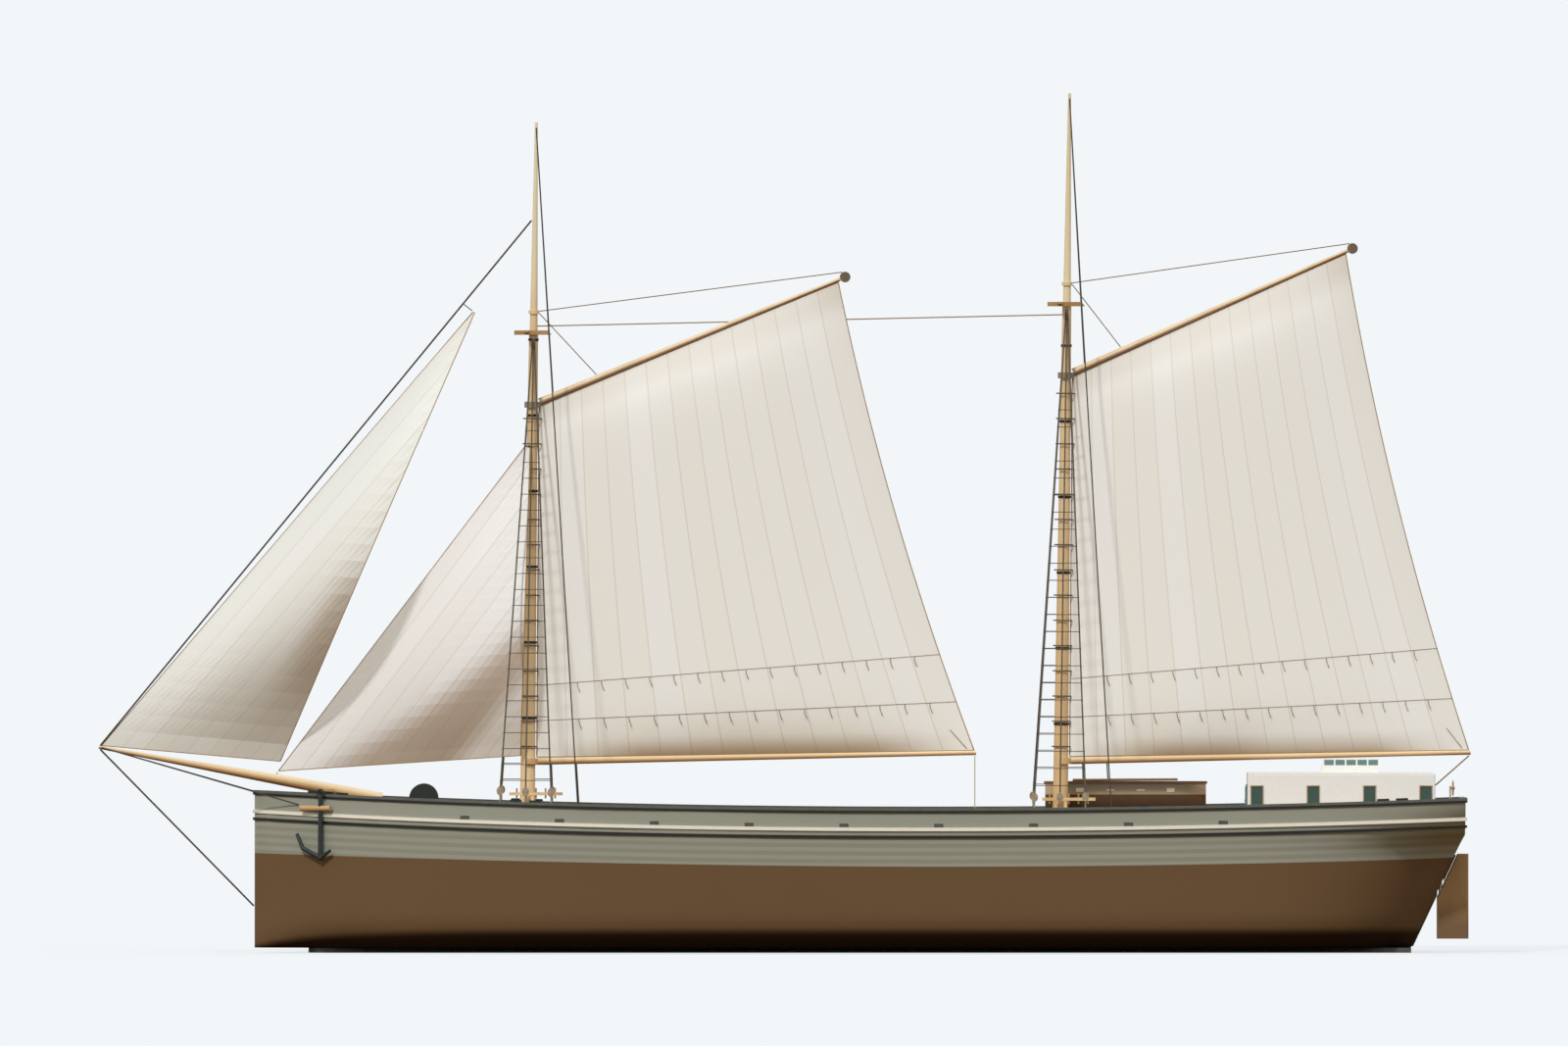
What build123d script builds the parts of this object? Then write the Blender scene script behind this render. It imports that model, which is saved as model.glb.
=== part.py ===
from build123d import *
import math
import os

# Two-masted gaff schooner, radio controlled, built on a planked wooden hull.
# Frame: bow towards -X, port side towards -Y, +Z up.  The origin is under the
# middle of the whole boat, on the underside of the keel plate.  Millimetres.

# ---------------------------------------------------------------- hull form
STEM_X = -437.0            # plumb stem
TRANSOM_X = 560.6          # flat transom above the knuckle
RAKE_TOP_X = 563.0         # where the raked post's line reaches the knuckle's height
FLOOR_Z = 4.0              # flat bottom of the hull, on top of the keel plate
FOOT_X = 516.6             # foot of the raked sternpost
KNUCKLE_Z = 102.3          # where the raked post meets the transom
LOW_X = 121.0              # lowest point of the sheer line
SHEER_LOW = 119.6
BOW_RISE = 14.4
STERN_RISE = 8.3
BEAM_HALF = 108.0
STEM_HALF = 2.5            # half width of the stem and of the sternpost
ENTRANCE = 330.0           # length over which the bow widens
QUARTER_X = 150.0          # where the stern starts to narrow
QUARTER_TAPER = 22.0
RUN = 38.0                 # how quickly the stern closes on its post
TUCK_Z = 82.0              # height where the counter starts to flare out
BILGE_R = 26.0
WALL = 2.2                 # hull planking
FLOOR_STOCK = 0.6          # taken off the bottom to leave it flat

# ---------------------------------------------------------------- deck and mouldings
CAP_T = 2.2                # thickness of the cap rail
CAP_OUT = 1.6
CAP_IN = 5.2
BEAD_T = 1.7               # black bead under the cap rail
BEAD_OUT = 1.4
RUB_DROP = 17.5            # cream rubbing strake, below the rail's top
RUB_H = 2.8
RUB_OUT = 1.5
WALE_DROP = 23.7
WALE_H = 2.3
WALE_OUT = 1.4
SET_IN = 0.5               # depth of the rebate that a moulding sits in
DECK_DROP = 17.2           # deck surface below the rail's top
DECK_T = 2.0
PORT_FIRST_X = -263.1      # freeing ports
PORT_PITCH = 78.0
PORT_COUNT = 9
PORT_L = 7.8
PORT_H = 3.1
PORT_DROP = 14.4
PORT_GAP = 0.15

# ---------------------------------------------------------------- keel, rudder, steering
KEEL_FRONT_X = -392.5
KEEL_HALF = 26.0
STOCK_X = 541.0
STOCK_R = 1.5
RUN_FIT = 0.05             # radial clearance of a turning fit
TUBE_R = 2.6
TUBE_Z = (62.5, 94.0)
BLADE_FRONT_X = 538.0
BLADE_BACK_X = 564.2
BLADE_Z = (11.3, 81.4)
BLADE_T = 4.4
BLADE_GAP = 1.6
BLADE_NOSE = 1.3           # chamfer of the blade's leading edges
POST_STRIP_T = 1.0         # thin strip along the sternpost, in front of the blade
POST_STRIP_GAP = 0.3       # left between the strip and the blade
ARM_Z = 95.0               # underside of the tiller and servo arms
ARM_T = 2.0
ARM_REACH = 12.0
ARM_HUB_R = 3.6
PIN_R = 0.8
ROD_T = 1.6                # pushrod
ROD_GAP = 0.3
SERVO_X = 451.0            # axis of the rudder servo
SERVO_SIZE = (40.0, 20.0, 30.0)
SERVO_AXIS_IN = 10.0

# ---------------------------------------------------------------- inside the hull
FRAME_XS = (-150.0, 75.0, 290.0, 408.0)
FRAME_T = 3.0
FRAME_GAP = 0.4
FRAME_OPEN_HALF = 46.0
FRAME_OPEN_Z = (34.0, 88.0)
TRAY_Z = 30.0
TRAY_T = 3.0
TRAY_HALF = 50.0
SHELF_L = 66.0
BALLAST_Y = 15.0
BALLAST_W = 16.0
BALLAST_H = 12.0
BALLAST_END_GAP = 6.0
WINCH_AT = (-95.0, 0.0)
WINCH_SIZE = (56.0, 30.0, 38.0)
DRUM_R = 17.0
DRUM_H = 9.0
BATTERY_AT = (25.0, 0.0)
BATTERY_SIZE = (70.0, 30.0, 16.0)
RECEIVER_AT = (-30.0, 32.0)
RECEIVER_SIZE = (42.0, 24.0, 14.0)

# ---------------------------------------------------------------- masts and spars
RAKE = math.radians(0.75)
MAST_REF_Z = 126.5         # height at which the mast positions are given
FORE_X = -212.0
MAIN_X = 227.6
MAST_HEEL_Z = 12.0
MAST_R = 6.25              # at the reference height
HOUND_R = 3.75             # at the crosstrees
TOP_R = 1.2
FORE_TOP_Z = 684.0
MAIN_TOP_Z = 707.8
FORE_HOUND_Z = 510.5
MAIN_HOUND_Z = 534.0
TOPMAST_R = 3.3
BAND_T = 2.0
BAND_OUT = 0.6
BAND_PITCH = 62.4
BAND_COUNT = 6
FORE_BAND_Z = 193.3
MAIN_BAND_Z = 188.4
COLLAR_OUT = 3.0
COLLAR_H = 2.4
STEP_SIZE = (26.0, 20.0, 12.0)
TREE_T = 3.6               # crosstrees
TREE_TOP_UP = 2.4
TREE_W = 2.6
TREE_FORWARD = 16.0
TREE_AFT = 15.0
TREE_BEVEL = 3.0           # the aft ends slope, so that a throat halyard swings past them
SPREADER_T = 1.8
SPREADER_HALF = 24.0
BOWSPRIT_TIP = (-566.0, 169.2)
BOWSPRIT_HEEL = (-332.0, 127.1)
BOWSPRIT_R = 4.7
BOWSPRIT_TIP_R = 1.3
BOWSPRIT_FULL_X = -400.0
CHOCK_XS = (-377.0, -341.0)
CHOCK_L = 10.0
CHOCK_HALF = 9.0

# ---------------------------------------------------------------- booms, gaffs, sails
JAW_FIT = 0.08             # radial clearance of what turns on a mast
FORE_BOOM_Z = (157.4, 164.6)      # at the mast and at the outer end
FORE_BOOM_END_X = 158.0
MAIN_BOOM_Z = (157.9, 164.9)
MAIN_BOOM_END_X = 566.0
BOOM_R = 3.0
BOOM_END_R = 1.9
FORE_GAFF_Z = (451.6, 555.2)
FORE_GAFF_END_X = 45.8
MAIN_GAFF_Z = (475.8, 578.6)
MAIN_GAFF_END_X = 464.4
GAFF_R = 3.2
GAFF_END_R = 1.6
JAW_H = 5.0
JAW_OUT = 2.6
JAW_HOLD = 1.5             # how far an open jaw reaches past the mast's middle
SPAR_GAP = 0.15            # sail edge to spar
LUFF_GAP = 1.6             # sail edge to mast
SAIL_T = 0.5
BELLY = 17.0
EDGE_SHAPE = 9.0           # how sharply the cloth leaves its spars
LEECH_HOLLOW = 8.4         # how far the free edge curves in
HOOP_R = 7.4
HOOP_WIRE_R = 0.55
HOOP_PITCH = 20.8
HOOP_FIRST_Z = 169.8
FORE_HOOPS = 14
MAIN_HOOPS = 15
ROPE_R = 0.4               # running rigging
FORE_SWIVEL_Z = 527.9
MAIN_SWIVEL_Z = 551.3
SWIVEL_H = 3.0
SWIVEL_OUT = 1.2
FORE_SPAN_X = -154.0       # where the lower halyard meets the gaff
MAIN_SPAN_X = 278.5
BLOCK_R = 4.4
BLOCK_T = 3.6

# ---------------------------------------------------------------- headsails
JIB_TACK = (-560.4, 170.6)
JIB_HEAD = (-257.0, 528.2)
JIB_CLEW = (-415.8, 157.6)
STAYSAIL_TACK = (-417.4, 149.6)
STAYSAIL_HEAD = (-214.4, 416.8)
STAYSAIL_CLEW = (-217.6, 162.4)
STAYSAIL_HEAD_Y = -9.0
STAYSAIL_CLEW_Y = -10.6
JIB_BELLY = (80.0, 0.92)    # greatest depth, and where its height lies
STAYSAIL_BELLY = (34.0, 0.75)
BELLY_POWER = 1.6           # how sharply a headsail curves in above its foot
JIB_HEAD_W = 1.6           # width of cloth left at the head
STAYSAIL_HEAD_W = 4.6

# ---------------------------------------------------------------- standing rigging
STAY_R = 0.55
HEADSTAY_R = 0.75           # jibstay and bobstay
SHROUD_R = 0.65
RATLINE_R = 0.32
RATLINE_COUNT = 23
FORE_RATLINE_Z = (142.4, 430.2)
MAIN_RATLINE_Z = (138.2, 447.4)
SHROUD_SPREAD = 21.0
FORE_SHROUD_Z = 506.5
MAIN_SHROUD_Z = 530.7
DEADEYE_SIZE = (2.9, 3.7)
DEADEYE_T = 3.0
DEADEYE_UP = 8.6           # centre above the rail
FORE_BACKSTAY = (-170.2, 680.0)   # deck end, mast end
MAIN_BACKSTAY = (268.8, 704.0)
JIBSTAY_Z = 603.6
BOBSTAY_Z = 38.4
GUY_X = -400.6
GUY_DROP = 10.0
SPRINGSTAY_Z = (516.4, 525.9)
SPRINGSTAY_Y = 5.4
SPRINGSTAY_R = 0.5

# ---------------------------------------------------------------- deck houses and hatch
HOUSE_X = (381.6, 536.2)
HOUSE_HALF = 44.0
HOUSE_TOP_Z = 146.6
HOUSE_WALL = 2.0
ROOF_T = 1.2
ROOF_CAMBER = 1.0
ROOF_INSET = 0.2
WINDOW_FIRST_X = 389.3
WINDOW_PITCH = 46.4
WINDOW_COUNT = 4
WINDOW_W = 11.2
WINDOW_Z = (120.0, 138.1)
WINDOW_BAR = 0.9
WINDOW_PROUD = 0.35
PANE_T = 0.8
DOOR_Y = (-22.0, -8.0)
DOOR_Z = (112.0, 138.6)
DOOR_T = 1.2
DOOR_GAP = 0.2
DOOR_PIN_R = 0.6
SKY_X = (443.2, 490.2)
SKY_HALF = 13.0
SKY_GLASS_X = (444.5, 490.0)    # outer faces of the end bars
SKY_BASE_TOP_Z = 154.4
SKY_TOP_Z = 159.4
SKY_PANES = 5
SKY_BAR = 1.3
HATCH_X = (-95.0, 45.0)
HATCH_HALF = 42.0
COAMING_W = 3.0
COAMING_UP = 6.0
LID_T = 2.2
LID_LIP = 2.6
LID_FIT = 0.4

# ---------------------------------------------------------------- deck gear
BOAT_X = (215.4, 348.0)
BOAT_Y = 47.0
BOAT_HALF = 22.0
BOAT_END_HALF = 15.0
BOAT_TOP_Z = 138.9
BOAT_BOTTOM_Z = 108.0
BOAT_WALL = 1.6
GUNWALE_T = 2.0
GUNWALE_OUT = 1.0
THWART_XS = (245.0, 281.0, 317.0)
PAD_XS = (243.8, 268.8, 294.0, 318.8)
PAD_Z = 133.8
PAD_H = (3.2, 1.0, 1.0, 3.2)
OAR_R = 1.0
CRADLE_XS = (247.0, 316.0)
WINDLASS_X = -297.5
WINDLASS_Z = 127.3
WINDLASS_R = 12.0
WINDLASS_HALF = 16.0
WINDLASS_POST_T = 4.0
ANCHOR_X = -382.3
ANCHOR_RING_R = 2.9
ANCHOR_RING_Z = 131.6
ANCHOR_CROWN_Z = 77.9
ANCHOR_OFF = 6.0
STOCK_SPAN = (-18.7, 9.7)
STOCK_Z = 119.2
CLEAT_L = 10.0
CLEAT_H = 1.7
CLEAT_XS = (-364.4, -221.1, -205.0, 278.8, 294.6, 492.6, 508.1)
CATHEAD_L = 23.0
WHEEL_X = 551.4
WHEEL_Z = 135.4
WHEEL_R = 4.6
WHEEL_SPOKES = 8
WHEEL_TIP_R = 6.4
FIFE_HALF_L = 21.9
FIFE_Y = 13.0
FIFE_H = 2.4
FIFE_LEG = 4.0             # legs of the rail, ahead of and behind the mast's middle
FIFE_UP = 6.0              # top of the fife rail above the cap rail
FIFE_SHIFT = 7.0           # its middle lies this far behind the mast
PIN_COUNT = 5
PIN_PITCH = 7.9

# ================================================================ helpers
RAKE_SLOPE = (RAKE_TOP_X - FOOT_X) / (KNUCKLE_Z - FLOOR_Z)
SIDES = (-1, 1)


def block(x, y, z):
    """A box from three (low, high) pairs."""
    size = [high - low for low, high in (x, y, z)]
    corner = (x[0], y[0], z[0])
    return Pos(*corner) * Box(*size, align=(Align.MIN, Align.MIN, Align.MIN))


def rod(start, end, r, end_r=None):
    """A round bar, tapered when a second radius is given."""
    a, b = Vector(*start), Vector(*end)
    plane = Plane(origin=a, z_dir=(b - a).normalized())
    if end_r is None or abs(end_r - r) < 1e-6:
        return Solid.make_cylinder(r, (b - a).length, plane)
    return Solid.make_cone(r, end_r, (b - a).length, plane)


def ring(center, axis, inner, outer, height):
    """A flat ring whose lower face is centred on a point."""
    plane = Plane(origin=center, z_dir=axis)
    return Solid.make_cylinder(outer, height, plane) - Solid.make_cylinder(inner, height, plane)


def sheer_z(x):
    """Height of the rail's top at a station."""
    if x < LOW_X:
        return SHEER_LOW + BOW_RISE * ((LOW_X - x) / (LOW_X - STEM_X)) ** 2.1
    return SHEER_LOW + STERN_RISE * ((x - LOW_X) / (TRANSOM_X - LOW_X)) ** 2


def deck_z(x):
    return sheer_z(x) - DECK_DROP


def post_x(z):
    """The raked sternpost line."""
    return FOOT_X + RAKE_SLOPE * (z - FLOOR_Z)


def half_breadth(x, z, grow=0.0):
    """Half width of the hull at one point of its profile, moved outwards by grow."""
    entry = min(max((x + 1.2 * grow - STEM_X) / ENTRANCE, 0.0), 1.0)
    width = STEM_HALF + (BEAM_HALF - STEM_HALF) * (1 - (1 - entry) ** 2.3) ** 0.8
    width -= QUARTER_TAPER * max(0.0, (x - QUARTER_X) / (TRANSOM_X - QUARTER_X)) ** 2.2
    room = post_x(z) + 1.2 * grow - x + 0.46 * max(0.0, z - TUCK_Z) ** 1.5
    width *= 1 - math.exp(-max(room + 1.8, 0.6) / RUN)
    flare = 0.94 + 0.06 * min(1.0, z / 110.0)
    return max(0.8, width * flare + grow)


# ================================================================ hull
# Stations: foot position and slope.  Aft, the planes lean over to the post's rake.
STATIONS = (
    (-440, 0), (-436, 0), (-430, 0), (-418, 0), (-400, 0), (-375, 0), (-340, 0),
    (-290, 0), (-220, 0), (-120, 0), (0, 0), (150, 0), (260, 0.1), (330, 0.32),
    (385, 0.6), (425, 0.8), (455, 0.93), (478, 1), (496, 1), (508, 1), (516, 1), (526, 1),
)
WATERLINES = (40.0, 58.0, 74.0, 86.0, 96.0, 106.0, 118.0, 142.0)
BILGE_ANGLES = (0, 30, 60, 90)


def station_wire(foot_x, lean, grow):
    """One closed cross section of the hull, with a round bilge."""
    slope = lean * RAKE_SLOPE
    bottom = FLOOR_Z - grow - FLOOR_STOCK
    bilge = min(BILGE_R, 0.6 * half_breadth(foot_x, FLOOR_Z + 6, grow))
    points = []
    for angle in BILGE_ANGLES:
        turn = math.radians(angle)
        z = bottom + bilge * (1 - math.cos(turn))
        x = foot_x + slope * (z - FLOOR_Z)
        points.append((x, half_breadth(x, z, grow) - bilge * (1 - math.sin(turn)), z))
    for z in WATERLINES:
        x = foot_x + slope * (z - FLOOR_Z)
        points.append((x, half_breadth(x, z, grow), z))
    starboard = [Vector(x, y, z) for x, y, z in points]
    port = [Vector(x, -y, z) for x, y, z in points]
    return Wire([
        Edge.make_line(port[0], starboard[0]), Edge.make_spline(starboard),
        Edge.make_line(starboard[-1], port[-1]), Edge.make_spline(port),
    ])


def side_profile(grow, top, bottom=None):
    """The hull's side outline as a prism right across the boat."""
    front, back = STEM_X - grow, TRANSOM_X + grow
    low = FLOOR_Z - grow if bottom is None else bottom
    off = grow * math.sqrt(1 + RAKE_SLOPE ** 2)
    knuckle = FLOOR_Z + (back - off - FOOT_X) / RAKE_SLOPE
    foot = post_x(low) + off
    stations = [front + i * (back - front) / 8 for i in range(9)]
    crest = [Vector(x, 0, sheer_z(x) + top) for x in stations]
    corners = [crest[-1], Vector(back, 0, knuckle), Vector(foot, 0, low),
               Vector(front, 0, low), crest[0]]
    edges = [Edge.make_spline(crest)]
    edges += [Edge.make_line(a, b) for a, b in zip(corners, corners[1:])]
    return extrude(Face(Wire(edges)), amount=150, both=True, dir=(0, 1, 0))


def hull_block(grow, top):
    """The solid hull, grown or shrunk, cut to its side outline."""
    body = Solid.make_loft([station_wire(x, lean, grow) for x, lean in STATIONS])
    return body & side_profile(grow, top)


def deck_slab(thick=DECK_T):
    """The space taken by the deck, wider than the boat."""
    stations = [STEM_X - 20 + i * (TRANSOM_X - STEM_X + 40) / 10 for i in range(11)]
    crest = [Vector(x, 0, deck_z(x)) for x in stations]
    under = [Vector(x, 0, deck_z(x) - thick) for x in reversed(stations)]
    edges = [Edge.make_spline(crest), Edge.make_line(crest[-1], under[0]),
             Edge.make_spline(under), Edge.make_line(under[-1], crest[0])]
    return extrude(Face(Wire(edges)), amount=150, both=True, dir=(0, 1, 0))


def under_deck():
    """Everything below the deck surface, as a cutter."""
    return deck_slab(60.0)


MOULDING_XS = ((-437, -434, -430, -424, -415, -400, -385) + tuple(range(-365, 530, 25))
               + (530, 546, TRANSOM_X))


def moulding(side, drop, height, inner, outer):
    """A strip that follows the sheer along one side of the hull."""
    wires = []
    for x in MOULDING_XS:
        at = x - RUB_OUT if x == MOULDING_XS[0] else x
        at = at + RUB_OUT if x == MOULDING_XS[-1] else at
        top, low = sheer_z(x) - drop, sheer_z(x) - drop - height
        mid = half_breadth(x, (top + low) / 2)
        near, far = side * max(0.2, mid - inner), side * (mid + outer)
        corners = [(at, near, low), (at, far, low), (at, far, top), (at, near, top)]
        wires.append(Wire.make_polygon([Vector(*c) for c in corners], close=True))
    return Solid.make_loft(wires, ruled=True)


def port_boxes(length, height, inner, outer):
    """One box for each freeing port, set square to the bulwark."""
    boxes = []
    for side in SIDES:
        for i in range(PORT_COUNT):
            x = PORT_FIRST_X + i * PORT_PITCH
            z = sheer_z(x) - PORT_DROP
            y = half_breadth(x, z)
            turn = math.degrees(math.atan2(half_breadth(x + 4, z) - half_breadth(x - 4, z), 8))
            box = block((-length / 2, length / 2), (-inner, outer), (-height / 2, height / 2))
            box = Pos(x, y, z) * Rot(0, 0, turn) * box
            boxes.append(box if side > 0 else mirror(box, Plane.XZ))
    return boxes


def make_hull():
    outer = hull_block(0.0, -CAP_T)
    inner = hull_block(-WALL, 20.0)
    bore = rod((STOCK_X, 0, 40), (STOCK_X, 0, 100), TUBE_R)
    shell = outer - [inner, bore] - port_boxes(PORT_L, PORT_H, WALL + 3, 3)
    deck = inner & deck_slab()
    openings = [block(HATCH_X, (-HATCH_HALF, HATCH_HALF), (60, 140))]
    for base in (FORE_X, MAIN_X):
        openings.append(rod(mast_point(base, 60), mast_point(base, 140), MAST_R + 0.15))
    return shell, deck - openings


def make_port_lids():
    return port_boxes(PORT_L - 2 * PORT_GAP, PORT_H - 2 * PORT_GAP, WALL - 0.4, -0.1)


def make_cap_rail():
    rails = [moulding(side, 0.0, CAP_T, CAP_IN, CAP_OUT) for side in SIDES]
    end = half_breadth(TRANSOM_X, sheer_z(TRANSOM_X) - 1) - CAP_IN - 0.05
    top = sheer_z(TRANSOM_X)
    rails.append(block((TRANSOM_X - 4.2, TRANSOM_X + RUB_OUT), (-end, end), (top - CAP_T, top)))
    return rails


def make_black_mouldings():
    strips = [moulding(side, CAP_T, BEAD_T, SET_IN, BEAD_OUT) for side in SIDES]
    return strips + [moulding(side, WALE_DROP - WALE_H / 2, WALE_H, SET_IN, WALE_OUT) for side in SIDES]


def make_rub_rails():
    return [moulding(side, RUB_DROP - RUB_H / 2, RUB_H, SET_IN, RUB_OUT) for side in SIDES]


def make_keel_plate():
    plate = block((KEEL_FRONT_X, FOOT_X), (-KEEL_HALF, KEEL_HALF), (0, FLOOR_Z))
    corners = [e for e in plate.edges().filter_by(Axis.Z) if e.center().X < 0]
    return fillet(corners, KEEL_HALF * 0.6)


def make_post_strip():
    """The thin strip along the sternpost that closes the gap in front of the rudder."""
    low, high = FLOOR_Z + 1.0, BLADE_Z[1] - 1.0
    out = BLADE_GAP * 1.1 - POST_STRIP_GAP
    corners = [(post_x(low) - 0.8, low), (post_x(low) + out, low), (post_x(high) + out, high),
               (post_x(high) - 0.8, high)]
    outline = Wire.make_polygon([Vector(x, 0, z) for x, z in corners], close=True)
    strip = extrude(Face(outline), amount=POST_STRIP_T / 2, both=True, dir=(0, 1, 0))
    return (strip - rod((STOCK_X, 0, low), (STOCK_X, 0, high), TUBE_R)).solids()


# ================================================================ masts and standing rigging
def mast_x(base, z):
    return base + math.tan(RAKE) * (z - MAST_REF_Z)


def mast_point(base, z, y=0.0):
    return (mast_x(base, z), y, z)


MAST_AXIS = (math.sin(RAKE), 0, math.cos(RAKE))


def mast_radius(z, hound_z, top_z):
    """Radius of a mast at a height: pole taper, then a thinner topmast."""
    if z <= MAST_REF_Z:
        return MAST_R
    if z <= hound_z:
        return MAST_R + (HOUND_R - MAST_R) * (z - MAST_REF_Z) / (hound_z - MAST_REF_Z)
    return TOPMAST_R + (TOP_R - TOPMAST_R) * (z - hound_z) / (top_z - hound_z)


def make_mast(base, hound_z, top_z):
    heel = rod(mast_point(base, MAST_HEEL_Z), mast_point(base, MAST_REF_Z), MAST_R)
    lower = rod(mast_point(base, MAST_REF_Z), mast_point(base, hound_z), MAST_R, HOUND_R)
    upper = rod(mast_point(base, hound_z), mast_point(base, top_z), TOPMAST_R, TOP_R)
    cap = Pos(*mast_point(base, top_z)) * Sphere(TOP_R)
    return heel + lower + upper + cap


def make_mast_bands():
    bands = []
    for base, first, hound, top in ((FORE_X, FORE_BAND_Z, FORE_HOUND_Z, FORE_TOP_Z),
                                    (MAIN_X, MAIN_BAND_Z, MAIN_HOUND_Z, MAIN_TOP_Z)):
        for i in range(BAND_COUNT):
            z = first + i * BAND_PITCH
            r = mast_radius(z, hound, top)
            bands.append(ring(mast_point(base, z - BAND_T / 2), MAST_AXIS, r, r + BAND_OUT, BAND_T))
        z = deck_z(base) + 0.3
        bands.append(ring(mast_point(base, z), MAST_AXIS, MAST_R, MAST_R + COLLAR_OUT, COLLAR_H))
    return bands


def make_crosstrees():
    trees = []
    for base, hound in ((FORE_X, FORE_HOUND_Z), (MAIN_X, MAIN_HOUND_Z)):
        x = mast_x(base, hound)
        z = (hound + TREE_TOP_UP - TREE_T, hound + TREE_TOP_UP)
        spreader = block((x - HOUND_R - 3.8, x - HOUND_R - 0.4), (-SPREADER_HALF, SPREADER_HALF),
                         (z[1] - SPREADER_T, z[1]))
        aft = x + TREE_AFT
        for side in SIDES:
            y = side * (HOUND_R + 0.1 + TREE_W / 2)
            corners = [(x - TREE_FORWARD, z[0]), (aft, z[0]), (aft - TREE_BEVEL, z[1]),
                       (x - TREE_FORWARD, z[1])]
            outline = Wire.make_polygon([Vector(px, y, pz) for px, pz in corners], close=True)
            trees.append(extrude(Face(outline), amount=TREE_W / 2, both=True, dir=(0, 1, 0)) - spreader)
        trees.append(spreader)
    return trees


def shroud_lines(base, top_z, hound, top):
    """The three shrouds of each side, as pairs of end points."""
    lines = []
    head_r = mast_radius(top_z, hound, top) + BAND_OUT + SHROUD_R + 0.05
    for side in SIDES:
        for i in (-1, 0, 1):
            x = base + i * SHROUD_SPREAD - 1.0
            low = (x, side * (half_breadth(x, sheer_z(x)) - 0.8), sheer_z(x) + DEADEYE_UP)
            lines.append((low, (mast_x(base, top_z) + 0.6 * i, side * head_r, top_z)))
    return lines


def on_line(line, z):
    """The point of a line at a height."""
    (x0, y0, z0), (x1, y1, z1) = line
    share = (z - z0) / (z1 - z0)
    return (x0 + share * (x1 - x0), y0 + share * (y1 - y0), z)


def make_shrouds():
    ropes = []
    for base, top_z, hound, top, span in (
            (FORE_X, FORE_SHROUD_Z, FORE_HOUND_Z, FORE_TOP_Z, FORE_RATLINE_Z),
            (MAIN_X, MAIN_SHROUD_Z, MAIN_HOUND_Z, MAIN_TOP_Z, MAIN_RATLINE_Z)):
        lines = shroud_lines(base, top_z, hound, top)
        for low, high in lines:
            start = on_line((low, high), low[2] + DEADEYE_SIZE[1] + 0.2)
            ropes.append(rod(start, high, SHROUD_R))
        for side, trio in zip(SIDES, (lines[:3], lines[3:])):
            for i in range(RATLINE_COUNT):
                z = span[0] + i * (span[1] - span[0]) / (RATLINE_COUNT - 1)
                first, last = on_line(trio[0], z), on_line(trio[2], z)
                out = side * (SHROUD_R + RATLINE_R + 0.1)
                ropes.append(rod((first[0] - 0.8, first[1] + out, z),
                                 (last[0] + 0.8, last[1] + out, z), RATLINE_R))
    return ropes


def make_deadeyes():
    pieces = []
    for base, top_z, hound, top in ((FORE_X, FORE_SHROUD_Z, FORE_HOUND_Z, FORE_TOP_Z),
                                    (MAIN_X, MAIN_SHROUD_Z, MAIN_HOUND_Z, MAIN_TOP_Z)):
        for (x, y, z), _ in shroud_lines(base, top_z, hound, top):
            plane = Plane(origin=(x, y - DEADEYE_T / 2, z), x_dir=(1, 0, 0), z_dir=(0, 1, 0))
            eye = extrude(plane * Ellipse(*DEADEYE_SIZE), amount=DEADEYE_T)
            strop = rod((x, y, sheer_z(x) + 0.05), (x, y, z - DEADEYE_SIZE[1] + 0.6), 0.6)
            pieces.append(eye + strop)
    return pieces


def rail_point(x, side):
    return (x, side * (half_breadth(x, sheer_z(x)) - 0.8), sheer_z(x))


def make_stays():
    ropes = []
    tip = (BOWSPRIT_TIP[0] + 1.6, 0, BOWSPRIT_TIP[1] - 0.2)
    for base, (foot_x, head_z), hound, top in ((FORE_X, FORE_BACKSTAY, FORE_HOUND_Z, FORE_TOP_Z),
                                               (MAIN_X, MAIN_BACKSTAY, MAIN_HOUND_Z, MAIN_TOP_Z)):
        r = mast_radius(head_z, hound, top)
        for side in SIDES:
            ropes.append(rod(rail_point(foot_x, side), mast_point(base, head_z, side * (r + STAY_R)), STAY_R))
    head_x = mast_x(FORE_X, JIBSTAY_Z) - mast_radius(JIBSTAY_Z, FORE_HOUND_Z, FORE_TOP_Z) - HEADSTAY_R
    ropes.append(rod((tip[0], 0, tip[2] + BOWSPRIT_TIP_R + 0.2), (head_x, 0, JIBSTAY_Z), HEADSTAY_R))
    ropes.append(rod((tip[0], 0, tip[2] - BOWSPRIT_TIP_R - 0.3), (STEM_X - HEADSTAY_R, 0, BOBSTAY_Z), HEADSTAY_R))
    for side in SIDES:
        z = sheer_z(GUY_X) - GUY_DROP
        y = half_breadth(GUY_X, z) + STAY_R + 0.2
        ropes.append(rod((tip[0] + 1, side * (BOWSPRIT_TIP_R + 0.8), tip[2]), (GUY_X, side * y, z), STAY_R))
    ropes += springstay()
    ropes.append(staysail_eye())
    ropes.append(rod((JIB_HEAD[0] - 0.6, 0, JIB_HEAD[1] + 0.9), jibstay_foot(), ROPE_R))
    return ropes


def jibstay_foot():
    """The point of the jibstay nearest to the jib's head, less the stay's radius."""
    tip = Vector(BOWSPRIT_TIP[0] + 1.6, 0, BOWSPRIT_TIP[1] + BOWSPRIT_TIP_R)
    head = Vector(mast_x(FORE_X, JIBSTAY_Z) - TOPMAST_R, 0, JIBSTAY_Z)
    along = (head - tip).normalized()
    jib = Vector(JIB_HEAD[0], 0, JIB_HEAD[1])
    foot = tip + along * (jib - tip).dot(along)
    back = foot + (jib - foot).normalized() * (STAY_R + 0.1)
    return (back.X, 0, back.Z)


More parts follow.
